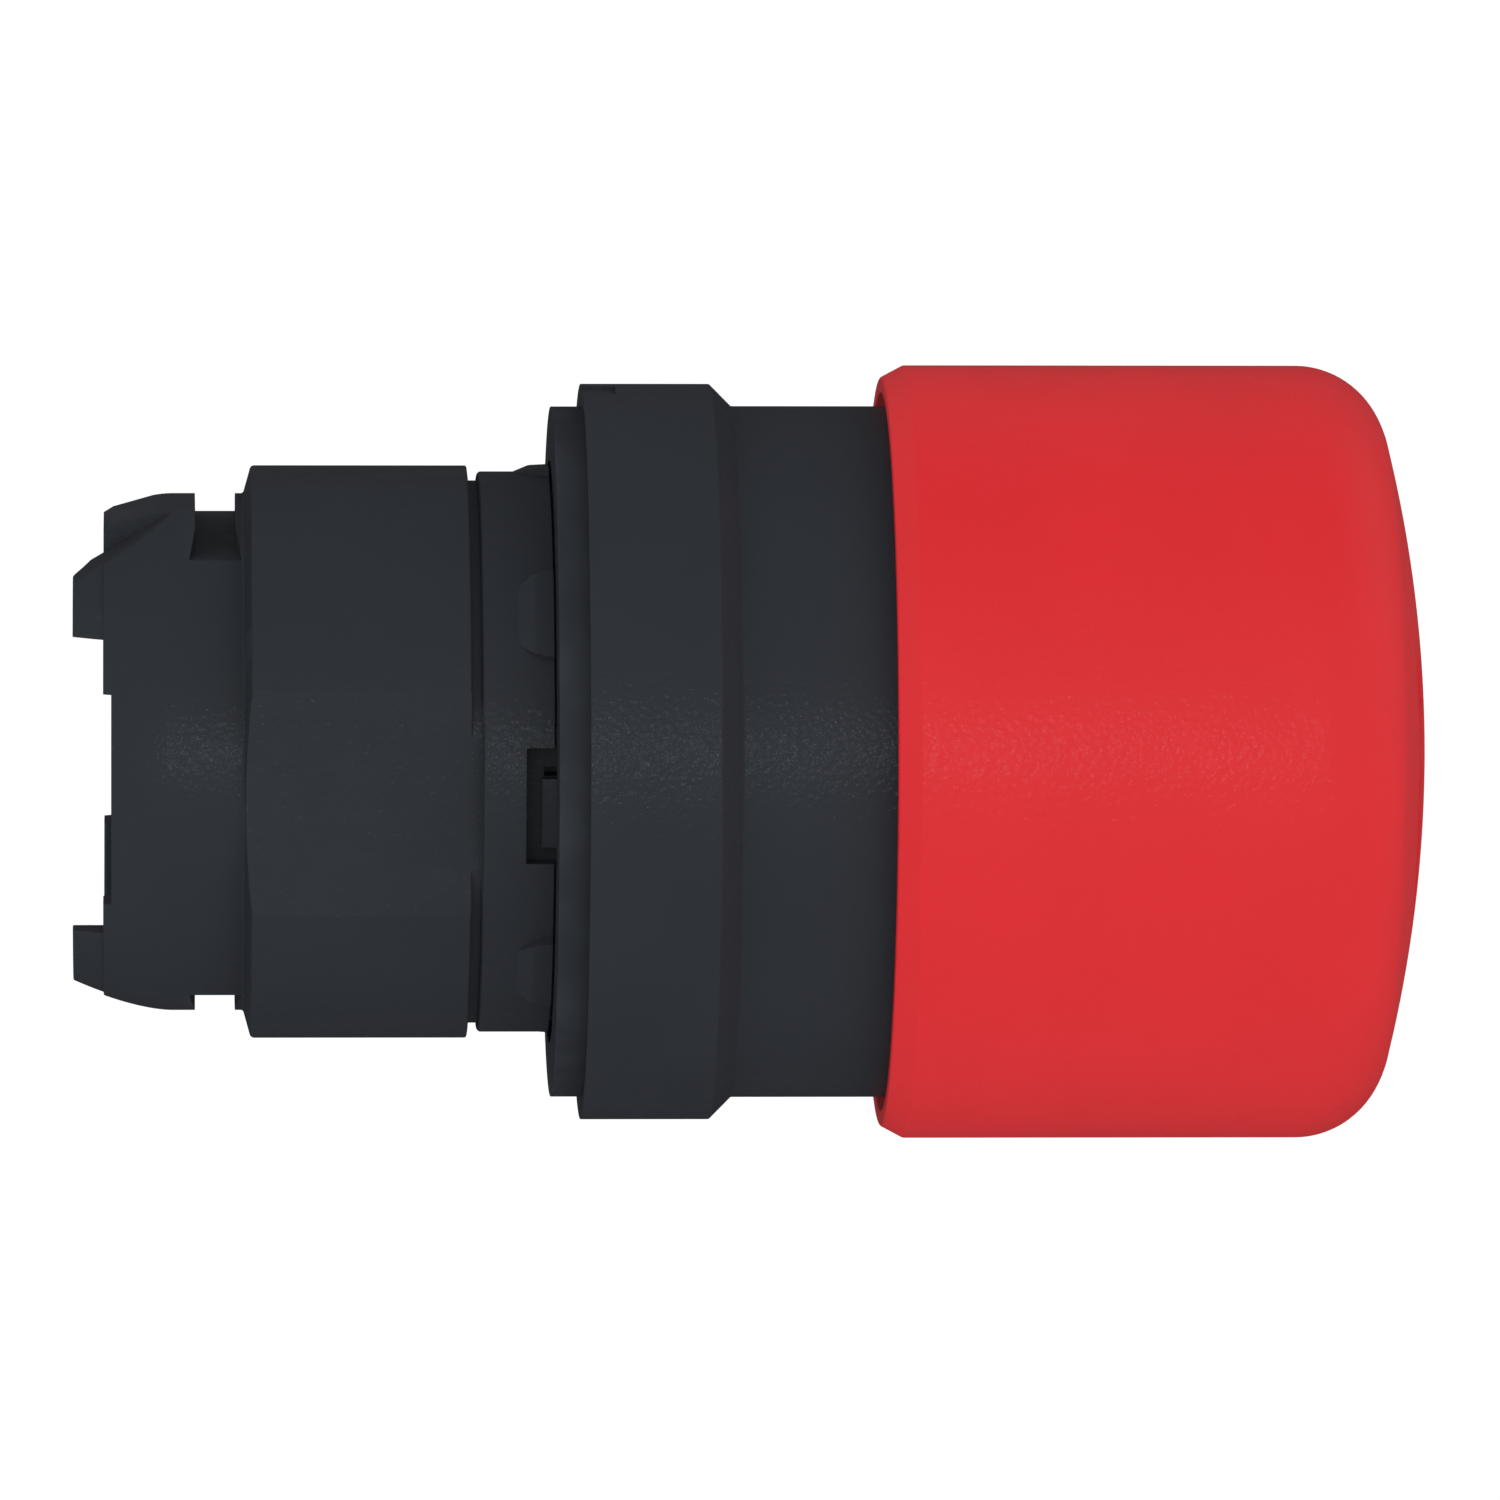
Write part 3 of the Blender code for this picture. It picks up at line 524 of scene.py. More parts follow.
def block(name, low, high, edge=0.0, turn_x=0.0, turn_y=0.0, pivot=(0, 0, 0)):
    """A box between two corners with rounded edges, turned about a pivot."""
    edit = bmesh.new()
    bmesh.ops.create_cube(edit, size=1.0)
    for vertex in edit.verts:
        vertex.co = Vector(
            [(a + b) / 2 + (b - a) * share for a, b, share in zip(low, high, vertex.co)]
        )
    if edge > 0:
        bevel_edges(edit, edge)
    pivot = Vector(pivot)
    spin = Matrix.Rotation(turn_x, 4, "X") @ Matrix.Rotation(turn_y, 4, "Y")
    for vertex in edit.verts:
        vertex.co = (spin @ (vertex.co - pivot) + pivot) * MM
    return object_from_bmesh(name, edit)


def prism(name, outline, low, high, plane="XY", edge=0.0):
    """An outline in the XY or XZ plane, given a height along the remaining axis."""

    def place(across, up, height):
        return (across, up, height) if plane == "XY" else (across, height, up)

    edit = bmesh.new()
    face = edit.faces.new([edit.verts.new(place(*point, low)) for point in outline])
    made = bmesh.ops.extrude_face_region(edit, geom=[face])
    move = Vector(place(0, 0, high - low))
    for item in made["geom"]:
        if isinstance(item, bmesh.types.BMVert):
            item.co += move
    bmesh.ops.recalc_face_normals(edit, faces=edit.faces)
    if edge > 0:
        bevel_edges(edit, edge)
    for vertex in edit.verts:
        vertex.co = vertex.co * MM
    return object_from_bmesh(name, edit)


# ------------------------------------------------------------------ Boolean steps
def tag(obj):
    """A material of its own marks which shape each face of a Boolean's result came from."""
    if not obj.data.materials:
        name = "tag_" + obj.name
        obj.data.materials.append(bpy.data.materials.get(name) or bpy.data.materials.new(name))


def combine(obj, other, operation):
    """Apply an exact Boolean to obj; other is used up."""
    tag(obj)
    tag(other)
    step = obj.modifiers.new("step", "BOOLEAN")
    step.operation = operation
    step.object = other
    step.solver = "EXACT"
    step.material_mode = "TRANSFER"
    bpy.context.view_layer.update()
    graph = bpy.context.evaluated_depsgraph_get()
    mesh = bpy.data.meshes.new_from_object(obj.evaluated_get(graph), depsgraph=graph)
    obj.modifiers.clear()
    old = obj.data
    obj.data = mesh
    bpy.data.meshes.remove(old)
    bpy.data.objects.remove(other, do_unlink=True)


def cut(obj, *others):
    for other in others:
        combine(obj, other, "DIFFERENCE")


def join(obj, *others):
    for other in others:
        combine(obj, other, "UNION")


def common(obj, other):
    combine(obj, other, "INTERSECT")


# ------------------------------------------------------------------ finishing
def settle(obj, material):
    """Weld, move to the panel and shade: an edge is sharp where it bends strongly, or where
    two source shapes meet at any visible angle."""
    weld = 0.0008 * MM
    sharp_bend = math.radians(26.0)
    sharp_seam = math.radians(1.5)
    edit = bmesh.new()
    edit.from_mesh(obj.data)
    bmesh.ops.remove_doubles(edit, verts=edit.verts, dist=weld)
    bmesh.ops.dissolve_degenerate(edit, edges=edit.edges, dist=weld)
    bmesh.ops.translate(edit, verts=edit.verts, vec=(PANEL_X, 0, 0))
    for edge in edit.edges:
        if len(edge.link_faces) != 2:
            continue
        first, second = edge.link_faces
        bend = edge.calc_face_angle(0.0)
        seam = first.material_index != second.material_index and bend > sharp_seam
        edge.smooth = not (bend > sharp_bend or seam)
    for face in edit.faces:
        face.smooth = True
        face.material_index = 0
    edit.to_mesh(obj.data)
    edit.free()
    obj.data.materials.clear()
    obj.data.materials.append(material)


def finish(obj, material, part):
    """Settle a piece and let it stand for a CAD part."""
    settle(obj, material)
    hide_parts(part)


# ------------------------------------------------------------------ mushroom cap
def release_arrow(name, start_deg):
    """The cutter for one curved arrow, sunk into the crown along its curve. It points clockwise
    for the operator, who looks along -X."""
    span_deg, head_deg = 84, 17.0
    middle_r = 8.3
    shaft_half_width, head_half_width, tip_half_width = 0.62, 1.5, 0.03
    clear_above, depth = 1.2, 0.12
    shaft_steps, head_steps = 22, 8
    head_start = start_deg + span_deg - head_deg
    # rows are (angle in degrees, half width)
    rows = [
        (start_deg + (span_deg - head_deg) * k / shaft_steps, shaft_half_width)
        for k in range(shaft_steps + 1)
    ]
    rows += [
        (
            head_start + head_deg * k / head_steps,
            head_half_width * (1 - k / head_steps) + tip_half_width,
        )
        for k in range(head_steps + 1)
    ]
    across = (-1.0, -0.5, 0.0, 0.5, 1.0)
    vertices, faces = [], []
    for lift in (clear_above, -depth):
        for degrees, half_width in rows:
            angle = math.radians(degrees)
            for share in across:
                r = middle_r + share * half_width
                x = dome_x(CAP.front, CROWN_RADIUS, r) + lift
                vertices.append((x * MM, r * math.sin(angle) * MM, r * math.cos(angle) * MM))
    row_count, column_count = len(rows), len(across)

    def at(layer, i, j):
        return (layer * row_count + i) * column_count + j

    for i in range(row_count - 1):
        for j in range(column_count - 1):
            faces.append((at(0, i, j), at(0, i + 1, j), at(0, i + 1, j + 1), at(0, i, j + 1)))
            faces.append((at(1, i, j), at(1, i, j + 1), at(1, i + 1, j + 1), at(1, i + 1, j)))
    for i in range(row_count - 1):
        for j in (0, column_count - 1):
            faces.append((at(0, i, j), at(0, i + 1, j), at(1, i + 1, j), at(1, i, j)))
    for j in range(column_count - 1):
        for i in (0, row_count - 1):
            faces.append((at(0, i, j), at(0, i, j + 1), at(1, i, j + 1), at(1, i, j)))
    return new_object(name, vertices, faces)


def build_cap():
    shoulder_r = CAP.radius - SHOULDER_RADIUS  # the shoulder arc's centre
    inner_shoulder = CAP_BORE - shoulder_r
    start_sine = math.sin(math.radians(SHOULDER_START_DEG))
    outer = (
        dome(CAP.front, CROWN_RADIUS, shoulder_r + SHOULDER_RADIUS * start_sine, 20)
        + arc(SHOULDER_X, shoulder_r, SHOULDER_RADIUS, SHOULDER_START_DEG, 90, 18)[1:]
        + [(SHOULDER_X - back, CAP.radius) for back in (0.3, 5.0, 10.0)]
    )
    rim = rounded(
        [
            (SHOULDER_X - 14.0, CAP.radius),
            (CAP.rear + 0.88, CAP.radius, 0.22),
            (CAP.rear, CAP.radius - 0.47, 0.14),
            (CAP.rear, CAP_BORE + 0.25, 0.10),
            (CAP.rear + 0.35, CAP_BORE, 0.10),
            (CAP.rear + 3.0, CAP_BORE),
        ],
        closed=False,
    )
    inner_dome = dome(
        CAP.front - CROWN_WALL, CROWN_RADIUS - CROWN_WALL,
        shoulder_r + inner_shoulder * start_sine, 10,
    )
    inner = (
        [(SHOULDER_X - 8.0, CAP_BORE), (SHOULDER_X - 0.3, CAP_BORE)]
        + arc(SHOULDER_X, shoulder_r, inner_shoulder, 90, SHOULDER_START_DEG, 10)[:-1]
        + inner_dome[::-1]
    )
    cap = turn("mushroom_cap_shell", outer + rim + inner, SHELL_STEPS, closed=False)
    for k in range(3):
        cut(cap, release_arrow("release_arrow_%d" % k, start_deg=120 * k + 228))
    finish(cap, RED, "mushroom_cap")
    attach(cap, "cap")


# ------------------------------------------------------------------ front bezel and gasket
GASKET_FRONT = 1.40


def build_bezel():
    neck_r, neck_bore, groove_r = 13.41, 12.2, 12.86
    socket_r = 10.0
    socket_groove_r = socket_r + 0.35
    profile = [  # (x, r, corner radius): neck and ring, rear face, socket, then the neck's bore
        (BEZEL.front, neck_r - 0.4, 0.2),
        (BEZEL.front - 0.4, neck_r, 0.2),
        (20.8, neck_r, 0.08),
        (20.8, groove_r, 0.08),
        (19.2, groove_r, 0.08),
        (19.2, neck_r, 0.08),
        (7.19, neck_r, 0.10),
        (6.34, BEZEL.radius, 0.10),
        (1.36, BEZEL.radius, 0.03),
        (GASKET_FRONT, GASKET.radius + 0.01),
        (GASKET_FRONT, socket_r, 0.10),
        (2.9, socket_r, 0.08),
        (2.9, socket_groove_r, 0.08),
        (4.9, socket_groove_r, 0.08),
        (4.9, socket_r, 0.08),
        (6.9, socket_r, 0.12),
        (6.9, 3.65, 0.12),
        (8.1, 3.65, 0.12),
        (8.1, 5.4, 0.12),
        (9.9, 5.4, 0.15),
        (9.9, neck_bore, 0.5),
        (BEZEL.front, neck_bore, 0.15),
    ]
    bezel = turn("front_bezel_body", rounded(profile), SHELL_STEPS)
    key_profile = [  # (x, r, corner radius)
        (1.9, 10.6),
        (1.5, 10.6),
        (-0.41, 10.40, 0.08),
        (-0.41, 10.08, 0.08),
        (3.0, 10.08),
        (3.0, 10.6),
    ]
    key = turn("key_ring", rounded(key_profile), SHELL_STEPS)
    common(key, block("key_sector", (-3, -12, -1.68), (4, -6, 1.00), edge=0.06))
    join(bezel, key)
    cut(bezel, block("bezel_mark", (0.6, -0.86, 14.12), (2.64, 0.86, 16)))
    finish(bezel, BLACK, "front_bezel")
    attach(bezel, "housing")


def build_gasket():
    bore = 11.3
    profile = [
        (GASKET_FRONT, GASKET.radius),
        (0.205, GASKET.radius, 0.03),
        (0.16, bore, 0.02),
        (GASKET_FRONT, bore),
    ]
    gasket = turn("panel_gasket_ring", rounded(profile), SHELL_STEPS)
    finish(gasket, RUBBER, "panel_gasket")
    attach(gasket, "housing")


# ------------------------------------------------------------------ barrel
def tail_radius(x):
    return TAIL_RADIUS - TAIL_DROP * max(0.0, (TAIL_FRONT - x) / TAIL_LENGTH) ** TAIL_POWER


def tail_profile(front, rear, inset=0.0):
    return [(x, tail_radius(x) - inset) for x in np.linspace(front, rear, 14)]


def barrel_body():
    profile = [  # (x, r, corner radius): spigot, collar, body and tail
        (BARREL.front, 9.6, 0.1),
        (BARREL.front - 0.25, 9.85, 0.1),
        (4.5, 9.85, 0.1),
        (4.1, 10.15, 0.1),
        (3.6, 10.15, 0.1),
        (3.3, 9.85, 0.1),
        (1.0, 9.85, 0.1),
        (1.0, 10.42, 0.08),
        (0.10, 10.42, 0.05),
        (0.10, 10.87, 0.02),
        (-2.66, 10.87, 0.32),
        (-2.66, 10.52, 0.05),
        (-3.06, 10.52, 0.05),
        (-3.06, 11.1, 0.08),
        (-11.41, 11.1, 0.18),
        (-11.71, TAIL_RADIUS, 0.12),
    ]
    profile += tail_profile(TAIL_FRONT, BARREL_REAR + 0.12)
    profile += [  # rear face, then forward along the bore
        (BARREL_REAR, tail_radius(BARREL_REAR), 0.12),
        (BARREL_REAR, 8.1, 0.12),
        (-15.6, 8.1, 0.1),
        (-15.6, 7.6, 0.1),
        (-2.2, 7.6, 0.12),
        (-2.2, 9.0, 0.15),
        (BARREL.front, 9.0, 0.1),
    ]
    return turn("barrel_body", rounded(profile), SHELL_STEPS)


def barrel_bumps():
    """Six rounded pads round the collar that widen towards the gasket."""
    profile = [  # (x, r, corner radius)
        (0.10, 11.16, 0.02),
        (-0.66, 11.12, 0.5),
        (-1.30, 10.85, 0.2),
        (-1.85, 10.80),
        (-1.85, 9.6),
        (0.10, 9.6),
    ]
    bumps = turn("bump_ring", rounded(profile), SHELL_STEPS)
    half_outline = [  # (x, half width)
        (-1.62, 0.30), (-1.55, 0.62), (-1.38, 1.02), (-1.12, 1.38), (-0.78, 1.66),
        (-0.35, 1.85), (0.2, 1.92), (2.0, 1.92),
    ]
    outline = half_outline + [(x, -y) for x, y in half_outline[::-1]]
    sectors = []
    for k, degrees in enumerate((40, 100, 160, 200, 260, 320)):
        sector = prism("bump_sector_%d" % k, outline, 6.0, 14.0)
        # the outline faces +Z; it is turned to its bump, measured from -Y towards +Z
        spin = math.pi / 2 - math.radians(degrees)
        sector.data.transform(Matrix.Rotation(spin, 4, "X"))
        sectors.append(sector)
    join(*sectors)
    common(bumps, sectors[0])
    return bumps


def barrel_legs():
    """Two legs at the rear on the near side, one above and one below the axis."""
    front, bore, inset = -15.3, 8.2, 0.12
    profile = tail_profile(front, BARREL.rear + 0.1, inset)
    profile += [
        (BARREL.rear, tail_radius(BARREL.rear) - inset, 0.1),
        (BARREL.rear, bore, 0.1),
        (front, bore),
    ]
    legs = turn("leg_ring", rounded(profile), SHELL_STEPS)
    blocks = block("leg_upper", (-19, -12, 5.8), (-15, -2.05, 12), edge=0.05)
    join(blocks, block("leg_lower", (-19, -12, -12), (-15, -2.05, -5.6), edge=0.05))
    common(legs, blocks)
    return legs


def cut_barrel_flats(barrel):
    rear_flat = [  # (x, z)
        (-11.76, 9.89), (-14.4, 9.89), (-15.2, 9.74), (-16.73, 9.30), (-17.1, 9.07),
        (-18.9, 7.95), (-18.9, 14), (-11.76, 14),
    ]
    cut(
        barrel,
        block("top_flat", (-12, -5, 10.97), (-2.0, 5, 14)),
        block("near_flat", (-12, -14, -6), (-2.59, -10.2, 6)),
        block("far_flat", (-12, 10.2, -6), (-2.59, 14, 6)),
        prism("rear_top_flat", rear_flat, -3.1, 3.1, "XZ"),
    )


def cut_barrel_slots(barrel):
    """A slot across the top and one across the bottom, both widening towards their ends."""
    outline = [  # (x, y)
        (-14.19, -8.5), (-13.57, -3.4), (-13.57, 3.4), (-14.19, 8.5),
        (-11.40, 8.5), (-12.02, 3.4), (-12.02, -3.4), (-11.40, -8.5),
    ]
    floor_z, outside_z = 8.52, 12
    cut(
        barrel,
        prism("slot_top", outline, floor_z, outside_z),
        prism("slot_bottom", outline, -outside_z, -floor_z),
    )


def cut_barrel_ramps(barrel):
    """Sloping cuts in the top of the tail, on both sides of the middle."""
    slope = math.radians(30.8)
    foot_z = 8.23
    for low_y, high_y, name in ((-12, -2.0, "near"), (2.0, 12, "far")):
        ramp = block(
            "ramp_" + name, (-23.1, low_y, foot_z), (-13.65, high_y, 14.23),
            turn_y=-slope, pivot=(BARREL_REAR, 0, foot_z),
        )
        cut(barrel, ramp)


def build_barrel():
    barrel = barrel_body()
    join(barrel, barrel_bumps())
    join(barrel, barrel_legs())
    cut_barrel_flats(barrel)
    cut_barrel_slots(barrel)
    cut_barrel_ramps(barrel)
    cut(
        barrel,
        block("rim_notches", (-17.4, -14, -4.25), (-16.79, 14, 3.93)),
        block("key_window", (-0.98, -14, -2.25), (1.3, -9.80, 2.25)),
        block("key_clearance", (-0.29, -14, 1.0), (1.3, -8.0, 1.36)),
    )
    finish(barrel, BLACK, "barrel")
    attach(barrel, "housing")


# ------------------------------------------------------------------ rear retainer and plunger
def build_retainer():
    retainer = plain_ring(
        "rear_retainer_ring", RETAINER, bore=5.95, outer_round=0.1, bore_round=0.1
    )
    for side in (1, -1):
        low, high = sorted((side * 5.32, side * 6.6))
        join(retainer, block("key_%d" % side, (-16.5, -2.0, low), (-16.0, 2.0, high), edge=0.08))
    finish(retainer, BLACK, "rear_retainer")
    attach(retainer, "housing")


def build_plunger():
    profile = [  # (x, r, corner radius): up the cup's inside, over the flange, to the rear face
        (-14.5, 0.0),
        (-14.5, 4.6, 0.3),
        (PLUNGER.front, 4.6, 0.15),
        (PLUNGER.front, PLUNGER.radius, 0.15),
        (-4.9, PLUNGER.radius, 0.15),
        (-4.9, 5.6, 0.2),
        (PLUNGER.rear, 5.6, 0.35),
        (PLUNGER.rear, 0.0),
    ]
    plunger = turn("actuator_plunger_body", rounded(profile, closed=False), closed=False)
    for side in (1, -1):
        low, high = sorted((side * 5.1, side * 7.0))
        cut(plunger, block("flat_%d" % side, (-17, -8, low), (-11.0, 8, high)))
    # an upright slot and two round recesses in the rear face
    pad_profile = [(1.2, 0.0), (1.2, 0.75), (-0.6, 0.75), (-0.6, 0.0)]
    cut(
        plunger,
        block("recess_a", (-17, -0.5, -3.2), (-15.75, 0.5, 3.2), edge=0.12),
        rod("recess_b", pad_profile, (-16.9, 3.3, 0), (1, 0, 0)),
        rod("recess_c", pad_profile, (-16.9, -3.3, 0), (1, 0, 0)),
    )
    finish(plunger, GREY, "actuator_plunger")
    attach(plunger, "plunger")


# ------------------------------------------------------------------ cam sleeve
def build_sleeve():
    tube_r, cone_r, rear_r, bore = 3.36, 4.45, 3.6, 2.6
    cone_rear = 1.2
    cone_front = cone_rear + (cone_r - tube_r) * CONE_RUN / CONE_RISE
    profile = [  # (x, r, corner radius)
        (SLEEVE.front, tube_r - 0.3, 0.1),
        (SLEEVE.front - 0.3, tube_r, 0.1),
        (cone_front, tube_r, 0.5),
        (cone_rear, cone_r, 0.5),
        (-2.2, cone_r, 0.15),
        (-2.2, SLEEVE.radius, 0.12),
        (-3.6, SLEEVE.radius, 0.12),
        (-3.6, rear_r, 0.15),
        (SLEEVE.rear, rear_r, 0.12),
        (SLEEVE.rear, bore, 0.1),
        (SLEEVE.front, bore, 0.1),
    ]
    sleeve = turn("cam_sleeve_body", rounded(profile))
    finish(sleeve, NATURAL, "cam_sleeve")
    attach(sleeve, "plunger")


# ------------------------------------------------------------------ hub, spindle, pin and clip
def pin_hole(name):
    profile = [
        (PIN_HOLE_LENGTH, 0.0),
        (PIN_HOLE_LENGTH, PIN_HOLE_RADIUS),
        (0, PIN_HOLE_RADIUS),
        (0, 0.0),
    ]
    return rod(name, profile, (PIN_X, 0, -PIN_HOLE_LENGTH / 2), (0, 0, 1))


def build_hub():
    profile = [  # (x, r, corner radius)
        (HUB.front, 5.0, 0.2),
        (28.3, 5.0, 0.3),
        (28.3, HUB.radius, 0.3),
        (26.8, HUB.radius, 0.15),
        (26.8, 4.8, 0.3),
        (HUB.rear, 4.8, 0.2),
        (HUB.rear, 2.8, 0.1),
        (HUB.front, 2.8, 0.1),
    ]
    hub = turn("cap_hub_body", rounded(profile))
    for k in range(3):
        rib = block(
            "rib_%d" % k, (28.0, 4.2, -0.6), (30.4, 11.6, 0.6), edge=0.12,
            turn_x=k * math.tau / 3 + math.pi / 2,
        )
        join(hub, rib)
    cut(hub, pin_hole("hub_pin_hole"))
    finish(hub, GREY, "cap_hub")
    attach(hub, "cap")


def build_spindle():
    profile = [  # (x, r, corner radius), with the clip's groove near the rear
        (SPINDLE.front, 0.0),
        (SPINDLE.front, 2.1, 0.1),
        (SPINDLE.front - 0.4, SPINDLE.radius, 0.1),
        (-7.0, SPINDLE.radius, 0.05),
        (-7.0, 2.0, 0.05),
        (-8.0, 2.0, 0.05),
        (-8.0, SPINDLE.radius, 0.05),
        (-8.3, SPINDLE.radius, 0.05),
        (SPINDLE.rear, 2.2, 0.08),
        (SPINDLE.rear, 0.0),
    ]
    spindle = turn("spindle_shaft", rounded(profile, closed=False), closed=False)
    cut(spindle, pin_hole("spindle_pin_hole"))
    finish(spindle, TURNED, "spindle")
    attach(spindle, "cap")


def build_pin():
    profile = [
        (PIN_LENGTH, 0.0),
        (PIN_LENGTH, PIN_RADIUS, 0.2),
        (0.0, PIN_RADIUS, 0.2),
        (0.0, 0.0),
    ]
    origin = (PIN_X, 0, -PIN_LENGTH / 2)
    pin = rod("hub_pin_body", rounded(profile, closed=False), origin, (0, 0, 1))
    finish(pin, TURNED, "hub_pin")
    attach(pin, "cap")


def build_clip():
    clip = plain_ring("spindle_clip_ring", CLIP, bore=2.3, outer_round=0.12, bore_round=0.06)
    cut(clip, block("clip_gap", (-9, -6, -1.5), (-6, -1, 1.5)))
    finish(clip, STEEL, "spindle_clip")
    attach(clip, "cap")


# ------------------------------------------------------------------ latch cage and pawls
def build_cage():
    cage = plain_ring("latch_cage_body", CAGE, bore=4.75, outer_round=0.35, bore_round=0.15)
    half_width = PAWL_HALF_WIDTH + POCKET_CLEARANCE
    pockets = block(
        "pockets",
        (PAWL_REAR - POCKET_CLEARANCE, -half_width, -12),
        (PAWL_FRONT + POCKET_CLEARANCE, half_width, 12),
    )
    cut(cage, pockets)
    finish(cage, CHARCOAL, "latch_cage")
    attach(cage, "housing")


def build_pawl(side, name):
    part = "latch_pawl_" + name
    low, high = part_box(part)
    near_axis, far_end = (low.z, high.z) if side > 0 else (-high.z, -low.z)
    near_axis, far_end = near_axis / MM, far_end / MM
    rise = CONE_RISE / CONE_RUN * (PAWL_FRONT - PAWL_REAR)
    outline = [  # (x, distance from the axis)
        (PAWL_REAR, far_end),
        (PAWL_FRONT, far_end),
        (PAWL_FRONT, near_axis),
        (PAWL_REAR, near_axis + rise),
    ]
    outline = [(x, side * z) for x, z in outline]
    pawl = prism(part + "_body", outline, -PAWL_HALF_WIDTH, PAWL_HALF_WIDTH, "XZ", edge=0.12)
    finish(pawl, NATURAL, part)
    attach(pawl, name + "_pawl")


# ------------------------------------------------------------------ seals and washer
def build_lip_seal():
    edge_r, bore = 13.3, 13.05
    profile = [
        (LIP_SEAL.front, edge_r, 0.08),
        ((LIP_SEAL.front + LIP_SEAL.rear) / 2, LIP_SEAL.radius, 0.12),
        (LIP_SEAL.rear, edge_r, 0.08),
        (LIP_SEAL.rear, bore, 0.08),
        (LIP_SEAL.front, bore, 0.08),
    ]
    seal = turn("cap_lip_seal_ring", rounded(profile), SHELL_STEPS)
    finish(seal, RUBBER, "cap_lip_seal")
    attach(seal, "housing")


def build_spindle_seal():
    section = arc(
        centre_x=9.0, centre_r=4.35, radius=0.7, start_deg=0, end_deg=345, segments=23
    )
    seal = turn("spindle_seal_ring", section)
    finish(seal, RUBBER, "spindle_seal")
    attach(seal, "housing")


def build_washer():
    washer = plain_ring(
        "spring_seat_washer_disc", WASHER, bore=3.9, outer_round=0.1, bore_round=0.06
    )
    finish(washer, STEEL, "spring_seat_washer")
    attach(washer, "housing")


# ------------------------------------------------------------------ springs
def coil(radius, wire, start, end, turns, tails=0.0):
    """Vertices and faces of a round wire wound along X with close end coils. Radius is the
    coil's, wire is the wire's own radius, and tails are the lengths of straight radial ends."""
    per_turn = 28
    sides = 12
    closed_turns = 0.9  # close coils at each end
    closed_pitch = 2 * wire * 1.06
    length = end - start
    pitch = (length - 2 * closed_turns * closed_pitch) / (turns - 2 * closed_turns)
    path = []
    for i in range(int(round(turns * per_turn)) + 1):
        turned = i / per_turn
        if turned < closed_turns:
            along = turned * closed_pitch
        elif turned > turns - closed_turns:
            along = length - (turns - turned) * closed_pitch
        else:
            along = closed_turns * closed_pitch + (turned - closed_turns) * pitch
        angle = math.tau * turned
        path.append(
            Vector((start + along, radius * math.cos(angle), radius * math.sin(angle)))
        )
    if tails:
        first, last = [
            tip + Vector((0, tip.y, tip.z)).normalized() * tails for tip in (path[0], path[-1])
        ]
        path = [first, *path, last]
    vertices, faces = [], []
    for i, centre in enumerate(path):
        ahead = path[min(i + 1, len(path) - 1)] - path[max(i - 1, 0)]
        ahead.normalize()
        side = ahead.cross(Vector((1, 0, 0)))
        side.normalize()
        up = side.cross(ahead).normalized()
        for k in range(sides):
            angle = math.tau * k / sides
            vertices.append(
                centre + side * (wire * math.cos(angle)) + up * (wire * math.sin(angle))
            )
    for i in range(len(path) - 1):
        for k in range(sides):
            n = (k + 1) % sides
            faces.append((i * sides + k, (i + 1) * sides + k, (i + 1) * sides + n, i * sides + n))
    faces.append(tuple(range(sides)))
    faces.append(tuple((len(path) - 1) * sides + k for k in reversed(range(sides))))
    return vertices, faces


def new_spring(name, vertices, faces):
    return new_object(name, [vertex * MM for vertex in vertices], faces)


def build_push_spring(part, radius, wire, rear_seat, front_seat, turns):
    """A compression spring between two seats; the push squashes it onto the rear one."""
    shape = coil(radius, wire, rear_seat + wire, front_seat - wire, turns)
    spring = new_spring(part + "_coil", *shape)
    finish(spring, STEEL, part)
    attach(spring, "housing")
    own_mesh(spring)


def build_torsion_spring():
    rear, front = 15.7, 20.3
    shape = coil(radius=3.75, wire=0.36, start=rear, end=front, turns=5.25, tails=0.7)
    spring = new_spring("torsion_spring_coil", *shape)
    finish(spring, STEEL, "torsion_spring")
    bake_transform(spring)


def build_pawl_spring(side, name):
    """A small upright spring between the housing and a pawl's outer end."""
    vertices, faces = coil(radius=0.95, wire=0.2, start=6.85, end=8.55, turns=3.2)
    # X becomes Z; the lower spring is turned half round about X
    vertices = [
        Vector((vertex.y + PAWL_SPRING_X, side * vertex.z, side * vertex.x))
        for vertex in vertices
    ]
    spring = new_spring("pawl_spring_%s_coil" % name, vertices, faces)
    finish(spring, STEEL, "pawl_spring_" + name)
    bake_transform(spring)


SIDES = ((1, "upper"), (-1, "lower"))

build_cap()
build_bezel()
build_gasket()
build_barrel()
build_retainer()
build_plunger()
build_sleeve()
build_hub()
build_spindle()
build_pin()
build_clip()
build_cage()
for side, name in SIDES:
    build_pawl(side, name)
build_lip_seal()
build_spindle_seal()
build_washer()
build_push_spring(
    "return_spring", radius=6.1, wire=0.5, rear_seat=11.05, front_seat=26.5, turns=6.5
)
build_push_spring(
    "actuator_spring", radius=6.55, wire=0.35, rear_seat=-15.5, front_seat=-5.25, turns=4.75
)
build_torsion_spring()
for side, name in SIDES:
    build_pawl_spring(side, name)


# ------------------------------------------------------------------ studio, in metres
WHITE = (1, 1, 1, 1)
FLOOR_Z = -0.060
FLOOR_HALF = 3.0

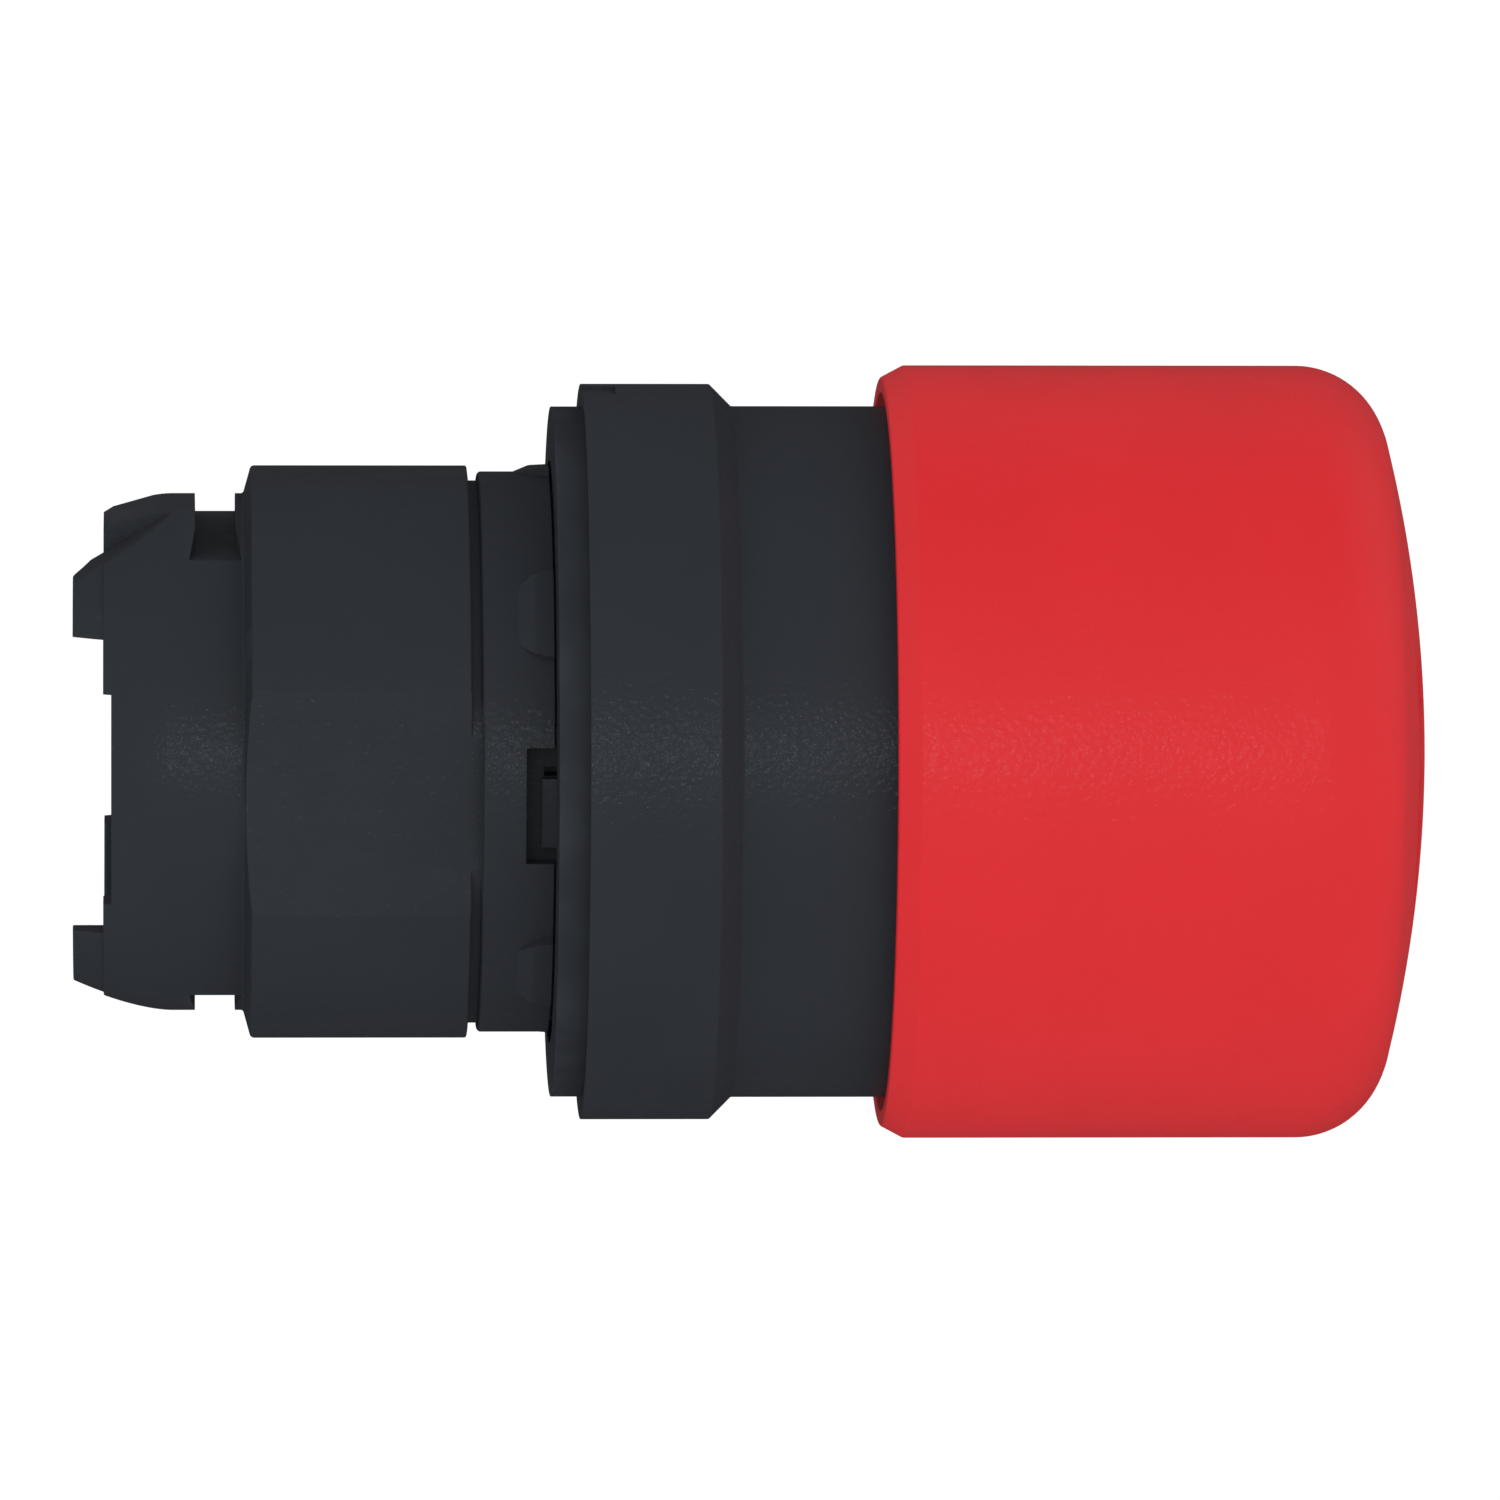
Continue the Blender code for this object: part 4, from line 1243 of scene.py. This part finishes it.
CAMERA_AZIMUTH = math.radians(-2.43)
CAMERA_ELEVATION = math.radians(11.3)
CAMERA_ROLL = math.radians(0.48)
CAMERA_DISTANCE = 0.563
TARGET = Vector((PANEL_X + 0.00797, 0, 0.00006))
TOWARDS_CAMERA = Vector(
    (
        math.sin(CAMERA_AZIMUTH) * math.cos(CAMERA_ELEVATION),
        -math.cos(CAMERA_AZIMUTH) * math.cos(CAMERA_ELEVATION),
        math.sin(CAMERA_ELEVATION),
    )
)


def paper(name, colour, glow):
    """Matt white paper with an even glow, mostly for the camera; clear from below."""
    material = bpy.data.materials.new(name)
    tree = clear_tree(material)
    matt = add_node(tree, "ShaderNodeBsdfDiffuse", Color=colour)
    even = add_node(tree, "ShaderNodeEmission", Color=WHITE, Strength=glow)
    camera_ray = add_node(tree, "ShaderNodeLightPath").outputs["Is Camera Ray"]
    # the glow's share is 0.40, and 0.48 more for the camera
    share = calculate(tree, "MULTIPLY_ADD", camera_ray, 0.48, 0.40)
    lit = mix_shaders(tree, share, matt.outputs["BSDF"], even.outputs["Emission"])
    below = add_node(tree, "ShaderNodeNewGeometry").outputs["Backfacing"]
    clear = add_node(tree, "ShaderNodeBsdfTransparent").outputs["BSDF"]
    sheet = mix_shaders(tree, below, lit, clear)
    add_node(tree, "ShaderNodeOutputMaterial", Surface=sheet)
    return material


def build_floor():
    corners = [(-1, -1), (1, -1), (1, 1), (-1, 1)]
    floor = new_object(
        "studio_floor",
        [(x * FLOOR_HALF, y * FLOOR_HALF, FLOOR_Z) for x, y in corners],
        [(0, 1, 2, 3)],
        recalc=False,
    )
    floor.data.materials.append(
        paper("studio_floor_paper", colour=(0.93, 0.93, 0.93, 1), glow=1.06)
    )
    floor.visible_glossy = False


def build_world():
    """A white room, dimmer overhead and a little brighter towards both ends of the X axis.
    Reflections see it nearly dark, and the camera sees it plain white."""
    world = bpy.data.worlds.new("studio")
    bpy.context.scene.world = world
    tree = clear_tree(world)

    def background(strength):
        made = add_node(tree, "ShaderNodeBackground", Color=WHITE, Strength=strength)
        return made.outputs["Background"]

    paths = add_node(tree, "ShaderNodeLightPath")
    where = add_node(tree, "ShaderNodeTexCoord").outputs["Generated"]
    parts = add_node(tree, "ShaderNodeSeparateXYZ", Vector=where)
    along = calculate(tree, "ABSOLUTE", parts.outputs["X"])
    ends = mapped(tree, along, source=(0.25, 1.0), result=(1.0, 1.12))
    zenith = mapped(tree, parts.outputs["Z"], source=(0.60, 0.97), result=(1.0, 0.42))
    level = calculate(tree, "MULTIPLY", ends, zenith)
    room = background(calculate(tree, "MULTIPLY", level, 1.17))  # overall brightness
    reflected = background(0.035)
    seen = background(1.05)
    unseen = mix_shaders(tree, paths.outputs["Is Glossy Ray"], room, reflected)
    surface = mix_shaders(tree, paths.outputs["Is Camera Ray"], unseen, seen)
    add_node(tree, "ShaderNodeOutputWorld", Surface=surface)


def build_camera():
    data = bpy.data.cameras.new("camera")
    data.lens = 348
    data.sensor_width = 36
    data.clip_start = 0.01
    data.clip_end = 20
    camera = add_object("camera", data)
    camera.location = TARGET + TOWARDS_CAMERA * CAMERA_DISTANCE
    camera.rotation_mode = "QUATERNION"
    camera.rotation_quaternion = (-TOWARDS_CAMERA).to_track_quat("-Z", "Y")
    roll = Matrix.Rotation(CAMERA_ROLL, 3, "Z").to_quaternion()
    camera.rotation_quaternion = camera.rotation_quaternion @ roll
    bpy.context.scene.camera = camera


def area_light(name, distance, size, power, colour=(1, 1, 1)):
    """A rectangular light on the camera's line of sight, aimed at the target."""
    data = bpy.data.lights.new(name, "AREA")
    data.shape = "RECTANGLE"
    data.size, data.size_y = size
    data.energy = power
    data.color = colour
    light = add_object(name, data)
    position = TARGET + TOWARDS_CAMERA * distance
    light.location = position
    light.rotation_euler = (TARGET - position).to_track_quat("-Z", "Y").to_euler()
    return light


build_floor()
build_world()
build_camera()

# a large soft light fills without a reflection; a small one gives only a faint reflection
fill = area_light("front_softbox", distance=0.60, size=(0.36, 0.22), power=0.05)
fill.visible_glossy = False
glint = area_light(
    "front_lamp", distance=0.58, size=(0.03, 0.03), power=0.17, colour=(0.84, 0.93, 1.0)
)
glint.visible_diffuse = False

bpy.context.scene.view_settings.view_transform = "Standard"
bpy.context.scene.view_settings.look = "None"
